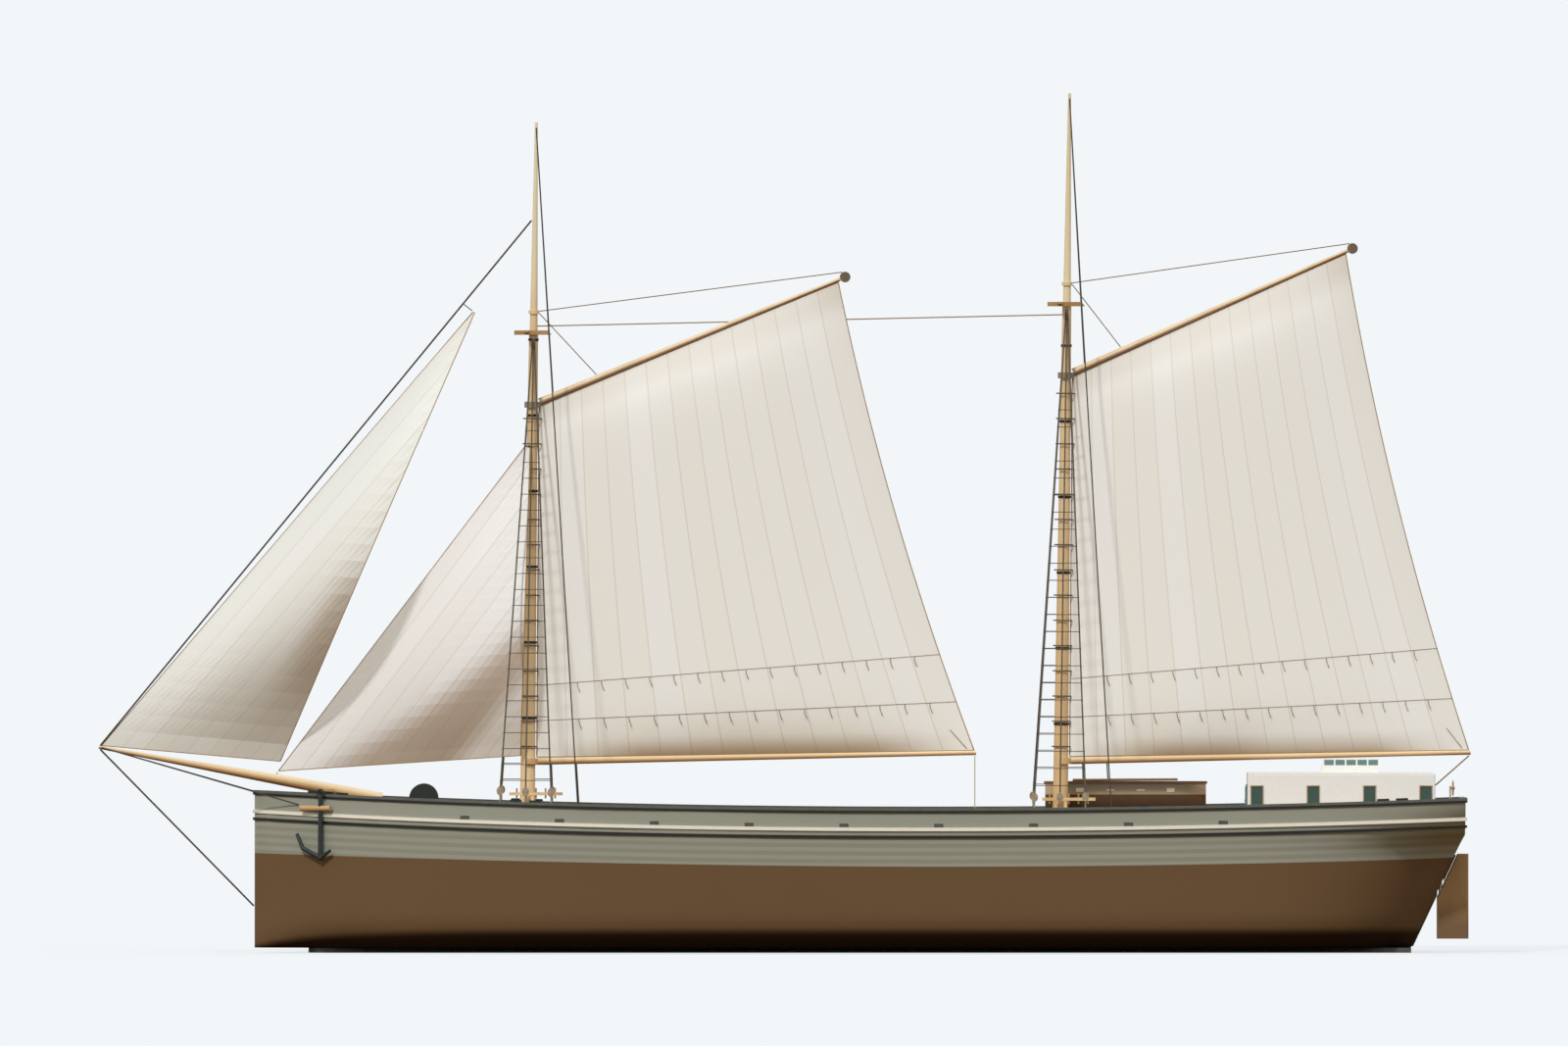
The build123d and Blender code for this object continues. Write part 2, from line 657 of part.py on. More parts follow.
def springstay():
    """The stay between the mastheads, to starboard of the foresail, and its eye."""
    fore_z, main_z = SPRINGSTAY_Z
    x = mast_x(FORE_X, fore_z)
    r = mast_radius(fore_z, FORE_HOUND_Z, FORE_TOP_Z)
    eye = rod((x, r, fore_z), (x, SPRINGSTAY_Y - SPRINGSTAY_R, fore_z), 0.7)
    end_x = mast_x(MAIN_X, main_z) - mast_radius(main_z, MAIN_HOUND_Z, MAIN_TOP_Z)
    return [eye, rod((x - 0.7, SPRINGSTAY_Y, fore_z), (end_x, 0.6, main_z), SPRINGSTAY_R)]


def staysail_eye():
    """The pin on the fore mast that the staysail's head is made fast to."""
    z = STAYSAIL_HEAD[1] + 0.6
    r = mast_radius(z, FORE_HOUND_Z, FORE_TOP_Z)
    return rod((mast_x(FORE_X, z) - 1.0, -r, z), (STAYSAIL_HEAD[0], STAYSAIL_HEAD_Y + 0.3, z), 0.6)


def bowsprit_z(x):
    share = (x - BOWSPRIT_TIP[0]) / (BOWSPRIT_HEEL[0] - BOWSPRIT_TIP[0])
    return BOWSPRIT_TIP[1] + share * (BOWSPRIT_HEEL[1] - BOWSPRIT_TIP[1])


def make_bowsprit():
    slope = (BOWSPRIT_TIP[1] - BOWSPRIT_HEEL[1]) / (BOWSPRIT_HEEL[0] - BOWSPRIT_TIP[0])
    tip = Vector(BOWSPRIT_TIP[0] + BOWSPRIT_TIP_R * slope, 0, BOWSPRIT_TIP[1])
    full = Vector(BOWSPRIT_FULL_X, 0, bowsprit_z(BOWSPRIT_FULL_X))
    heel = Vector(BOWSPRIT_HEEL[0], 0, BOWSPRIT_HEEL[1])
    out = Vector(slope, 0, 1).normalized()
    outline = [tip, tip + out * BOWSPRIT_TIP_R, full + out * BOWSPRIT_R, heel + out * BOWSPRIT_R, heel]
    half = Face(Wire.make_polygon(outline, close=True))
    spar = revolve(half, Axis(tip, heel - tip))
    x = STAYSAIL_TACK[0] - 1.2
    eye = rod((x, 0, bowsprit_z(x) + BOWSPRIT_R * 0.8), (x, 0, STAYSAIL_TACK[1] - 1.0), 0.7)
    return [spar, eye]


def make_bitts():
    """Chocks under the bowsprit and the two posts that carry the windlass."""
    pieces = []
    for x in CHOCK_XS:
        top = bowsprit_z(x) - 0.5
        chock = block((x - CHOCK_L / 2, x + CHOCK_L / 2), (-CHOCK_HALF, CHOCK_HALF), (80, top))
        pieces.append(chock - make_bowsprit()[0] - under_deck())
    for side in SIDES:
        y = sorted((side * (WINDLASS_HALF + 1), side * (WINDLASS_HALF + 1 + WINDLASS_POST_T)))
        post = block((WINDLASS_X - 4, WINDLASS_X + 4), y, (80, WINDLASS_Z + 3.2))
        hole = rod((WINDLASS_X, -40, WINDLASS_Z), (WINDLASS_X, 40, WINDLASS_Z), 1.5 + RUN_FIT)
        pieces.append(post - hole - under_deck())
    return pieces


# ================================================================ fore-and-aft rigs
class Spar:
    """A boom or gaff: a tapered pole whose ring or open jaw turns on its mast."""

    def __init__(self, base, heights, end_x, radii, hound, top):
        self.base, self.hound, self.top = base, hound, top
        self.z0, self.z1 = heights
        self.r0, self.r1 = radii
        self.x0, self.x1 = mast_x(base, self.z0), end_x
        self.slope = (self.z1 - self.z0) / (self.x1 - self.x0)

    def z(self, x):
        return self.z0 + (x - self.x0) * self.slope

    def radius(self, x):
        return self.r0 + (self.r1 - self.r0) * (x - self.x0) / (self.x1 - self.x0)

    def edge_z(self, x, hand, gap):
        """Height of the upper (+1) or lower (-1) side of the pole, with a gap."""
        return self.z(x) + hand * (self.radius(x) + gap) * math.sqrt(1 + self.slope ** 2)

    def mast_radius(self, z):
        return mast_radius(z, self.hound, self.top)

    def solid(self, open_jaw=False):
        mast_r = self.mast_radius(self.z0 - JAW_H / 2)
        jaw = ring(mast_point(self.base, self.z0 - JAW_H / 2), MAST_AXIS, mast_r + JAW_FIT,
                   mast_r + JAW_OUT, JAW_H)
        if open_jaw:
            jaw = jaw - block((self.x0 - 20, self.x0 - JAW_HOLD), (-20, 20), (self.z0 - 20, self.z0 + 20))
        start = self.x0 + mast_r + JAW_FIT + self.r0 * abs(self.slope) + 0.2
        pole = rod((start, 0, self.z(start)), (self.x1, 0, self.z1), self.radius(start), self.r1)
        return jaw + pole


def sail_corners(boom, gaff):
    """Tack, clew, throat and peak of a gaff sail."""
    tack_x = boom.x0 + boom.mast_radius(boom.z0) + LUFF_GAP
    throat_x = gaff.x0 + gaff.mast_radius(gaff.z0) + LUFF_GAP
    clew_x, peak_x = boom.x1 - 1.6, gaff.x1 - 1.4
    tack = Vector(tack_x, 0, boom.edge_z(tack_x, 1, SPAR_GAP) + 0.3)
    clew = Vector(clew_x, 0, boom.edge_z(clew_x, 1, SPAR_GAP))
    throat = Vector(throat_x, 0, gaff.edge_z(throat_x, -1, SPAR_GAP))
    peak = Vector(peak_x, 0, gaff.edge_z(peak_x, -1, SPAR_GAP))
    return tack, clew, throat, peak


def between(a, b, share):
    """The point at a share of the way from a to b."""
    return a + (b - a) * share


def cloth(rows):
    """A thin solid from a grid of points on one sail."""
    face = Face.make_surface_from_array_of_points(rows, tol=0.05)
    return Pos(0, -SAIL_T / 2, 0) * Solid.extrude(face, Vector(0, SAIL_T, 0))


def gaff_sail(tack, clew, throat, peak, across=12, down=14):
    """A four-sided sail that bellies out to port, flat at its spars."""
    rows = []
    for i in range(across + 1):
        u = i / across
        head, foot = between(throat, peak, u), between(tack, clew, u)
        row = []
        for j in range(down + 1):
            v = j / down
            sag = BELLY * math.sin(math.pi * u) ** 0.8 * (1 - abs(2 * v - 1) ** EDGE_SHAPE)
            point = between(foot, head, v)
            hollow = LEECH_HOLLOW * u * 4 * v * (1 - v)
            row.append(Vector(point.X - hollow, -sag, point.Z))
        rows.append(row)
    return cloth(rows)


def headsail(tack, clew, head, head_w, belly, across=10, up=16):
    """A three-sided sail made fast along its luff; its free edge blows out to port."""
    depth, skew = belly
    tip = head + Vector(head_w, 0, -head_w * 0.2)
    rows = []
    for i in range(across + 1):
        t = i / across
        row = []
        for j in range(up + 1):
            s = j / up
            rise = s ** skew
            sag = depth * math.sin(math.pi * t / 2) * (4 * rise * (1 - rise)) ** BELLY_POWER
            point = between(between(tack, head, s), between(clew, tip, s), t)
            row.append(Vector(point.X, point.Y - sag, point.Z))
        rows.append(row)
    return cloth(rows)


def make_hoops(base, count):
    hoops = []
    for i in range(count):
        z = HOOP_FIRST_Z + i * HOOP_PITCH
        plane = Plane(origin=mast_point(base, z), z_dir=MAST_AXIS)
        hoops.append(Solid.make_torus(HOOP_R, HOOP_WIRE_R, plane))
    return hoops


def make_halyards(gaff, swivel_z, span_x):
    """Swivel band, peak and throat halyards, and the block at the peak."""
    low_r = gaff.mast_radius(swivel_z - SWIVEL_H / 2)
    band = ring(mast_point(gaff.base, swivel_z - SWIVEL_H / 2), MAST_AXIS, low_r + JAW_FIT,
                low_r + SWIVEL_OUT, SWIVEL_H)
    back = mast_x(gaff.base, swivel_z) + low_r + SWIVEL_OUT
    angle = math.atan(gaff.slope)
    off = gaff.radius(span_x) + 0.3
    on_gaff = (span_x - off * math.sin(angle), 0, gaff.z(span_x) + off * math.cos(angle))
    reach = BLOCK_R + 0.15
    middle = (gaff.x1 + reach * math.cos(angle), 0, gaff.z1 + reach * math.sin(angle))
    plane = Plane(origin=(middle[0], -BLOCK_T / 2, middle[2]), x_dir=(1, 0, 0), z_dir=(0, 1, 0))
    sheave = Solid.make_cylinder(BLOCK_R, BLOCK_T, plane)
    meet = (middle[0] - BLOCK_R * 0.55, 0, middle[2] + BLOCK_R * 0.92)
    ropes = [rod((back + 0.1, 0, swivel_z + 0.8), meet, ROPE_R),
             rod((back + 0.1, 0, swivel_z - 0.8), on_gaff, ROPE_R)]
    return [band, sheave] + ropes


def make_sheets():
    """The two boom sheets, from their booms down to the deck and the deckhouse."""
    fore = rod((FORE_BOOM_END_X - 1.0, 0, deck_z(FORE_BOOM_END_X) + 0.1),
               (FORE_BOOM_END_X - 1.0, 0, FORE_BOOM_Z[1] - BOOM_END_R - 0.6), ROPE_R)
    low = (HOUSE_X[1] + ROPE_R + 0.3, 0, 137.8)
    high = (MAIN_BOOM_END_X - 1.4, 0, MAIN_BOOM_Z[1] - BOOM_END_R - 0.8)
    return [fore, rod(low, high, ROPE_R)]


# ================================================================ rudder and steering gear
def make_rudder_blade():
    low, high = BLADE_Z
    turn_z = FLOOR_Z + (BLADE_FRONT_X - BLADE_GAP * 1.1 - FOOT_X) / RAKE_SLOPE
    corners = [(BLADE_FRONT_X, low), (BLADE_BACK_X, low), (BLADE_BACK_X, high),
               (post_x(high) + BLADE_GAP * 1.1, high), (BLADE_FRONT_X, turn_z)]
    outline = Wire.make_polygon([Vector(x, 0, z) for x, z in corners], close=True)
    blade = extrude(Face(outline), amount=BLADE_T / 2, both=True, dir=(0, 1, 0))
    trailing = [e for e in blade.edges().filter_by(Axis.Z) if e.center().X > BLADE_BACK_X - 0.1]
    blade = chamfer(trailing, BLADE_T * 0.3)
    leading = [e for e in blade.edges() if e.center().Z > turn_z and abs(e.center().Y) > BLADE_T / 2 - 0.1
               and e.center().X < post_x(e.center().Z) + BLADE_GAP * 1.1 + 0.2 and e.length > BLADE_T]
    blade = chamfer(leading, BLADE_NOSE)
    return blade - make_rudder_stock()


def make_rudder_stock():
    return rod((STOCK_X, 0, BLADE_Z[0] + 8), (STOCK_X, 0, ARM_Z + ARM_T + 0.8), STOCK_R)


def make_stern_tube():
    return ring((STOCK_X, 0, TUBE_Z[0]), (0, 0, 1), STOCK_R + RUN_FIT, TUBE_R, TUBE_Z[1] - TUBE_Z[0])


def arm(x, hub_bore):
    """A steering arm with its upright pin, reaching to starboard."""
    plate = ring((x, 0, ARM_Z), (0, 0, 1), hub_bore, ARM_HUB_R, ARM_T)
    bar = block((x - 2.0, x + 2.0), (ARM_HUB_R - 0.6, ARM_REACH), (ARM_Z, ARM_Z + ARM_T))
    end = rod((x, ARM_REACH, ARM_Z), (x, ARM_REACH, ARM_Z + ARM_T), 2.0)
    pin = rod((x, ARM_REACH, ARM_Z), (x, ARM_REACH, ARM_Z + ARM_T + ROD_GAP + ROD_T + 0.8), PIN_R)
    return plate + bar + end + pin


def make_pushrod():
    z = ARM_Z + ARM_T + ROD_GAP
    body = block((SERVO_X, STOCK_X), (ARM_REACH - 1.0, ARM_REACH + 1.0), (z, z + ROD_T))
    for x in (SERVO_X, STOCK_X):
        body = body + rod((x, ARM_REACH, z), (x, ARM_REACH, z + ROD_T), 2.4)
    for x in (SERVO_X, STOCK_X):
        body = body - rod((x, ARM_REACH, z), (x, ARM_REACH, z + ROD_T), PIN_R + RUN_FIT)
    return body


def make_servo():
    length, width, height = SERVO_SIZE
    top = ARM_Z - 5.0
    x = (SERVO_X + SERVO_AXIS_IN - length, SERVO_X + SERVO_AXIS_IN)
    case = block(x, (-width / 2, width / 2), (top - height, top))
    ears = block((x[0] - 6, x[1] + 6), (-width / 2, width / 2), (top - 9, top - 6.6))
    boss = rod((SERVO_X, 0, top), (SERVO_X, 0, top + 2.5), 6.0)
    shaft = rod((SERVO_X, 0, top + 2.5), (SERVO_X, 0, ARM_Z + ARM_T), 2.4)
    return case + ears + boss + shaft


def frame_plate(x):
    """One plywood frame across the hull, open in the middle."""
    bottom = FLOOR_Z + WALL + 0.1
    top = deck_z(x) - DECK_T - 0.15
    bilge = BILGE_R - WALL
    points = []
    for angle in BILGE_ANGLES:
        turn = math.radians(angle)
        z = bottom + bilge * (1 - math.cos(turn))
        y = min(half_breadth(at, z, -WALL) for at in (x, x + FRAME_T))
        points.append((y - FRAME_GAP - bilge * (1 - math.sin(turn)), z))
    for z in (50.0, 75.0, top):
        y = min(half_breadth(at, z, -WALL) for at in (x, x + FRAME_T))
        points.append((y - FRAME_GAP, z))
    outline = [Vector(x, y, z) for y, z in points] + [Vector(x, -y, z) for y, z in reversed(points)]
    plate = extrude(Face(Wire.make_polygon(outline, close=True)), amount=FRAME_T, dir=(1, 0, 0))
    gap = block((x - 1, x + FRAME_T + 1), (-FRAME_OPEN_HALF, FRAME_OPEN_HALF), FRAME_OPEN_Z)
    return plate - gap


def make_frames():
    plates = [frame_plate(x) for x in FRAME_XS]
    tray = block((FRAME_XS[0] + FRAME_T, FRAME_XS[1]), (-TRAY_HALF, TRAY_HALF), (TRAY_Z, TRAY_Z + TRAY_T))
    servo_low = ARM_Z - 5.0 - 9.0
    shelf_x = (FRAME_XS[3] + FRAME_T, FRAME_XS[3] + FRAME_T + SHELF_L)
    shelf = block(shelf_x, (-30, 30), (servo_low - TRAY_T, servo_low))
    well = block((SERVO_X + SERVO_AXIS_IN - SERVO_SIZE[0] - 0.2, SERVO_X + SERVO_AXIS_IN + 0.2),
                 (-SERVO_SIZE[1] / 2 - 0.2, SERVO_SIZE[1] / 2 + 0.2), (0, 120))
    pieces = plates + [tray, shelf - well]
    for base in (FORE_X, MAIN_X):
        x = mast_x(base, FLOOR_Z + WALL)
        length, width, height = STEP_SIZE
        low = FLOOR_Z + WALL + 0.05
        step = block((x - length / 2, x + length / 2), (-width / 2, width / 2), (low, low + height))
        pieces.append(step - rod(mast_point(base, MAST_HEEL_Z), mast_point(base, 60), MAST_R))
    return pieces


def make_ballast():
    bars = []
    low = FLOOR_Z + WALL + 0.05
    for start, stop in zip(FRAME_XS, FRAME_XS[1:3]):
        for side in SIDES:
            y = sorted((side * (BALLAST_Y - BALLAST_W / 2 + 8), side * (BALLAST_Y + BALLAST_W / 2 + 8)))
            bars.append(block((start + FRAME_T + BALLAST_END_GAP, stop - BALLAST_END_GAP), y,
                              (low, low + BALLAST_H)))
    return bars


def on_tray(at, size):
    x, y = at
    length, width, height = size
    low = TRAY_Z + TRAY_T
    return block((x - length / 2, x + length / 2), (y - width / 2, y + width / 2), (low, low + height))


def make_winch():
    x, y = WINCH_AT
    top = TRAY_Z + TRAY_T + WINCH_SIZE[2]
    case = on_tray(WINCH_AT, WINCH_SIZE)
    lugs = block((x - WINCH_SIZE[0] / 2 - 7, x + WINCH_SIZE[0] / 2 + 7), (y - 13, y + 13),
                 (TRAY_Z + TRAY_T, TRAY_Z + TRAY_T + 3))
    shaft = rod((x, y, top), (x, y, top + DRUM_H + 2), 2.5)
    return case + lugs + shaft


def make_drum():
    x, y = WINCH_AT
    low = TRAY_Z + TRAY_T + WINCH_SIZE[2] + 0.6
    core = rod((x, y, low), (x, y, low + DRUM_H), DRUM_R * 0.72)
    for z in (low, low + DRUM_H - 1.4):
        core = core + rod((x, y, z), (x, y, z + 1.4), DRUM_R)
    return core - rod((x, y, low - 1), (x, y, low + DRUM_H + 3), 2.5 + RUN_FIT)


def make_battery():
    pack = on_tray(BATTERY_AT, BATTERY_SIZE)
    return fillet(pack.edges().filter_by(Axis.X), 3.0)


def make_receiver():
    case = on_tray(RECEIVER_AT, RECEIVER_SIZE)
    return fillet(case.edges().filter_by(Axis.Z), 2.0)


# ================================================================ hatch and deck houses
def make_coaming():
    z = (deck_z(HATCH_X[0]) - 4.0, deck_z((HATCH_X[0] + HATCH_X[1]) / 2) + COAMING_UP)
    outer = block(HATCH_X, (-HATCH_HALF, HATCH_HALF), z)
    inside = (HATCH_X[0] + COAMING_W, HATCH_X[1] - COAMING_W)
    return outer - block(inside, (COAMING_W - HATCH_HALF, HATCH_HALF - COAMING_W), (60, 140))


def make_lid():
    top = deck_z((HATCH_X[0] + HATCH_X[1]) / 2) + COAMING_UP
    plate = block((HATCH_X[0] - LID_LIP, HATCH_X[1] + LID_LIP),
                  (-HATCH_HALF - LID_LIP, HATCH_HALF + LID_LIP), (top, top + LID_T))
    plate = fillet(plate.edges().filter_by(Axis.Z), 3.0)
    inset = COAMING_W + LID_FIT
    plug = block((HATCH_X[0] + inset, HATCH_X[1] - inset),
                 (inset - HATCH_HALF, HATCH_HALF - inset), (top - 3.0, top))
    middle = (HATCH_X[0] + HATCH_X[1]) / 2
    knob = rod((middle, 0, top + LID_T), (middle, 0, top + LID_T + 1.6), 1.6, 2.6)
    return plate + plug + knob


def window_centres():
    return [WINDOW_FIRST_X + i * WINDOW_PITCH for i in range(WINDOW_COUNT)]


def sky_pane_spans():
    """Front and back of each skylight pane."""
    first = SKY_GLASS_X[0]
    pitch = (SKY_GLASS_X[1] - first) / SKY_PANES
    return [(first + i * pitch + SKY_BAR / 2, first + (i + 1) * pitch - SKY_BAR / 2)
            for i in range(SKY_PANES)]


def make_deckhouse():
    house = block(HOUSE_X, (-HOUSE_HALF, HOUSE_HALF), (90, HOUSE_TOP_Z))
    upright = [e for e in house.edges().filter_by(Axis.Z)]
    house = fillet(upright, 1.2)
    wall = HOUSE_WALL
    house = house - block((HOUSE_X[0] + wall, HOUSE_X[1] - wall), (wall - HOUSE_HALF, HOUSE_HALF - wall),
                          (80, HOUSE_TOP_Z + 1))
    for x in window_centres():
        house = house - block((x - WINDOW_W / 2, x + WINDOW_W / 2), (-60, 60), WINDOW_Z)
    house = house - block((HOUSE_X[0] - 1, HOUSE_X[0] + wall + 1), (DOOR_Y[0] + 1, DOOR_Y[1] - 1),
                          (DOOR_Z[0] + 1, DOOR_Z[1] - 1))
    return house - under_deck()


def make_roof():
    half = HOUSE_HALF - 0.4
    edge = HOUSE_TOP_Z
    low = [Vector(0, -half, edge), Vector(0, 0, edge + ROOF_CAMBER), Vector(0, half, edge)]
    high = [v + Vector(0, 0, ROOF_T) for v in low]
    wire = Wire([Edge.make_three_point_arc(*low), Edge.make_line(low[2], high[2]),
                 Edge.make_three_point_arc(high[2], high[1], high[0]), Edge.make_line(high[0], low[0])])
    span = HOUSE_X[1] - HOUSE_X[0] - 2 * ROOF_INSET
    roof = extrude(Face(wire), amount=span, dir=(1, 0, 0))
    return Pos(HOUSE_X[0] + ROOF_INSET, 0, 0) * roof


def make_window_frames():
    frames = []
    for side in SIDES:
        y = sorted((side * (HOUSE_HALF - HOUSE_WALL), side * (HOUSE_HALF + WINDOW_PROUD)))
        for x in window_centres():
            outer = block((x - WINDOW_W / 2, x + WINDOW_W / 2), y, WINDOW_Z)
            inside = block((x - WINDOW_W / 2 + WINDOW_BAR, x + WINDOW_W / 2 - WINDOW_BAR), (-60, 60),
                           (WINDOW_Z[0] + WINDOW_BAR, WINDOW_Z[1] - WINDOW_BAR))
            frames.append(outer - inside)
    return frames


def make_panes():
    panes = []
    for side in SIDES:
        near = HOUSE_HALF - HOUSE_WALL / 2
        y = sorted((side * (near - PANE_T / 2), side * (near + PANE_T / 2)))
        for x in window_centres():
            panes.append(block((x - WINDOW_W / 2 + WINDOW_BAR, x + WINDOW_W / 2 - WINDOW_BAR), y,
                               (WINDOW_Z[0] + WINDOW_BAR, WINDOW_Z[1] - WINDOW_BAR)))
        y = sorted((side * (SKY_HALF - PANE_T), side * SKY_HALF))
        for span in sky_pane_spans():
            panes.append(block(span, y, (SKY_BASE_TOP_Z, SKY_TOP_Z - 0.5)))
    return panes


def make_door():
    x = (HOUSE_X[0] - DOOR_GAP - DOOR_T, HOUSE_X[0] - DOOR_GAP)
    leaf = block(x, DOOR_Y, DOOR_Z)
    height = (DOOR_Z[0] + DOOR_Z[1]) / 2
    knob = rod((x[0] - 0.9, DOOR_Y[1] - 2.2, height), (x[0], DOOR_Y[1] - 2.2, height), 0.9)
    pin = rod((x[0], DOOR_Y[0], DOOR_Z[0] + 2), (x[0], DOOR_Y[0], DOOR_Z[1] - 2), DOOR_PIN_R)
    return [leaf + knob + pin]


def make_skylight():
    crown = HOUSE_TOP_Z + ROOF_CAMBER + ROOF_T
    base = block(SKY_X, (-SKY_HALF - 1, SKY_HALF + 1), (crown - 1.2, SKY_BASE_TOP_Z))
    base = base - make_roof()
    upper = block(SKY_GLASS_X, (-SKY_HALF, SKY_HALF), (SKY_BASE_TOP_Z, SKY_TOP_Z))
    frame = base + upper
    for span in sky_pane_spans():
        frame = frame - block(span, (-SKY_HALF - 1, SKY_HALF + 1), (SKY_BASE_TOP_Z, SKY_TOP_Z - 0.5))
        core = block(span, (-SKY_HALF + PANE_T, SKY_HALF - PANE_T), (SKY_BASE_TOP_Z, SKY_TOP_Z - 0.5))
        frame = frame + core
    return frame


# ================================================================ deck gear
def boat_half(x):
    """Half width of the ship's boat at its gunwale."""
    middle = (BOAT_X[0] + BOAT_X[1]) / 2
    share = abs(x - middle) / ((BOAT_X[1] - BOAT_X[0]) / 2)
    return BOAT_HALF - (BOAT_HALF - BOAT_END_HALF) * share ** 3


def boat_outline(z, scale, inset):
    """One level of the boat in plan."""
    front, back = BOAT_X[0] + inset, BOAT_X[1] - inset
    xs = [front + i * (back - front) / 6 for i in range(7)]
    near = [Vector(x, BOAT_Y - scale * boat_half(x) + inset, z) for x in xs]
    far = [Vector(x, BOAT_Y + scale * boat_half(x) - inset, z) for x in xs]
    return Wire([Edge.make_spline(near), Edge.make_line(near[-1], far[-1]),
                 Edge.make_spline(far[::-1]), Edge.make_line(far[0], near[0])])


def boat_body():
    levels = ((BOAT_BOTTOM_Z, 0.62), (122.0, 0.93), (BOAT_TOP_Z, 1.0))
    return Solid.make_loft([boat_outline(z, s, 0.0) for z, s in levels])


def make_boat():
    hull = boat_body()
    hold = Solid.make_loft([boat_outline(z, s, BOAT_WALL)
                            for z, s in ((BOAT_BOTTOM_Z + 2, 0.62), (122.0, 0.93), (BOAT_TOP_Z + 1, 1.0))])
    return hull - hold


def make_boat_fittings():
    body = boat_body()
    top = BOAT_TOP_Z + GUNWALE_T
    rim = Solid.make_loft([boat_outline(z, 1.0, -GUNWALE_OUT) for z in (BOAT_TOP_Z, top)])
    rim = rim - Solid.make_loft([boat_outline(z, 1.0, BOAT_WALL + 0.8) for z in (BOAT_TOP_Z - 1, top + 1)])
    pieces = [rim]
    for x in THWART_XS:
        half = boat_half(x) - BOAT_WALL - 0.6
        pieces.append(block((x - 3.5, x + 3.5), (BOAT_Y - half, BOAT_Y + half), (134.0, 135.6)))
    for x, height in zip(PAD_XS, PAD_H):
        y = BOAT_Y - boat_half(x)
        pad = block((x - 3.2, x + 3.2), (y - 0.5, y + 1.6), (PAD_Z - height / 2, PAD_Z + height / 2))
        pieces.append(pad - body)
    for y in (-6.0, 5.0):
        start = (238.0, BOAT_Y + y - 10, top + OAR_R + 0.1)
        end = (324.6, BOAT_Y + y - 12, top + OAR_R + 0.6)
        pieces.append(rod(start, end, OAR_R))
    for x in CRADLE_XS:
        cradle = block((x - 3, x + 3), (BOAT_Y - 16, BOAT_Y + 16), (90, 112.0))
        pieces.append(cradle - body - under_deck())
    return pieces


def make_windlass():
    axis = (WINDLASS_X, 0, WINDLASS_Z)
    half = WINDLASS_HALF
    barrel = rod((axis[0], -half, axis[2]), (axis[0], half, axis[2]), WINDLASS_R * 0.7)
    for y in (-half, half - 3.0):
        barrel = barrel + rod((axis[0], y, axis[2]), (axis[0], y + 3.0, axis[2]), WINDLASS_R)
    reach = half + WINDLASS_POST_T + 9
    barrel = barrel + rod((axis[0], -reach, axis[2]), (axis[0], reach, axis[2]), 1.5)
    for side in SIDES:
        near = side * (half + WINDLASS_POST_T + 2)
        barrel = barrel + rod((axis[0], near, axis[2]), (axis[0], side * reach, axis[2]), 5.0, 6.0)
    return barrel


def anchor_frame(side):
    """Plane of an anchor: along the hull side, up, and its place."""
    z = (ANCHOR_RING_Z + ANCHOR_CROWN_Z) / 2
    step = 4.0
    rise = (half_breadth(ANCHOR_X + step, z) - half_breadth(ANCHOR_X - step, z)) / (2 * step)
    along = Vector(1, side * rise, 0).normalized()
    y = half_breadth(ANCHOR_X, sheer_z(ANCHOR_X)) + CAP_OUT + ANCHOR_OFF - 2.4
    return Vector(ANCHOR_X, side * y, 0), along


def make_anchors():
    anchors, stocks = [], []
    for side in SIDES:
        origin, along = anchor_frame(side)

        def place(u, z):
            point = origin + along * u
            return (point.X, point.Y, z)
        out = Vector(along.Y, -along.X, 0)
        hoop = Solid.make_torus(ANCHOR_RING_R, 0.9, Plane(origin=place(0, ANCHOR_RING_Z), z_dir=out))
        shank = rod(place(0, ANCHOR_CROWN_Z), place(0, ANCHOR_RING_Z - ANCHOR_RING_R), 2.1, 1.8)
        iron = shank + hoop
        bend, tip = place(-16.9, ANCHOR_CROWN_Z + 8.4), place(-22.4, ANCHOR_CROWN_Z + 20.2)
        iron = iron + rod(place(0, ANCHOR_CROWN_Z + 0.6), bend, 1.9, 1.7)
        iron = iron + rod(bend, tip, 1.7, 1.5) + Pos(*bend) * Sphere(1.7)
        iron = iron + rod(place(0, ANCHOR_CROWN_Z + 0.6), place(9.6, ANCHOR_CROWN_Z + 6.6), 1.9, 1.2)
        iron = iron + Pos(*place(0, ANCHOR_CROWN_Z + 0.4)) * Sphere(2.2)
        stock = rod(place(STOCK_SPAN[0], STOCK_Z), place(STOCK_SPAN[1], STOCK_Z), 2.3)
        stocks.append(stock - iron)
        anchors.append(iron)
    return anchors, stocks


def rail_bar(x, side, length, height, inset):
    """A bar that lies along the cap rail, square to its slope and curve."""
    slope = math.degrees(math.atan2(sheer_z(x + 5) - sheer_z(x - 5), 10))
    turn = math.degrees(math.atan2(half_breadth(x + 5, sheer_z(x)) - half_breadth(x - 5, sheer_z(x)), 10))
    bar = block((-length / 2, length / 2), (-1.2, 1.2), (0.04, height))
    ends = [e for e in bar.edges().filter_by(Axis.Y) if e.center().Z > height / 2]
    bar = Rot(0, 0, turn) * Rot(0, -slope, 0) * fillet(ends, 0.7)
    bar = Pos(x, half_breadth(x, sheer_z(x)) - inset, sheer_z(x)) * bar
    return bar if side > 0 else mirror(bar, Plane.XZ)


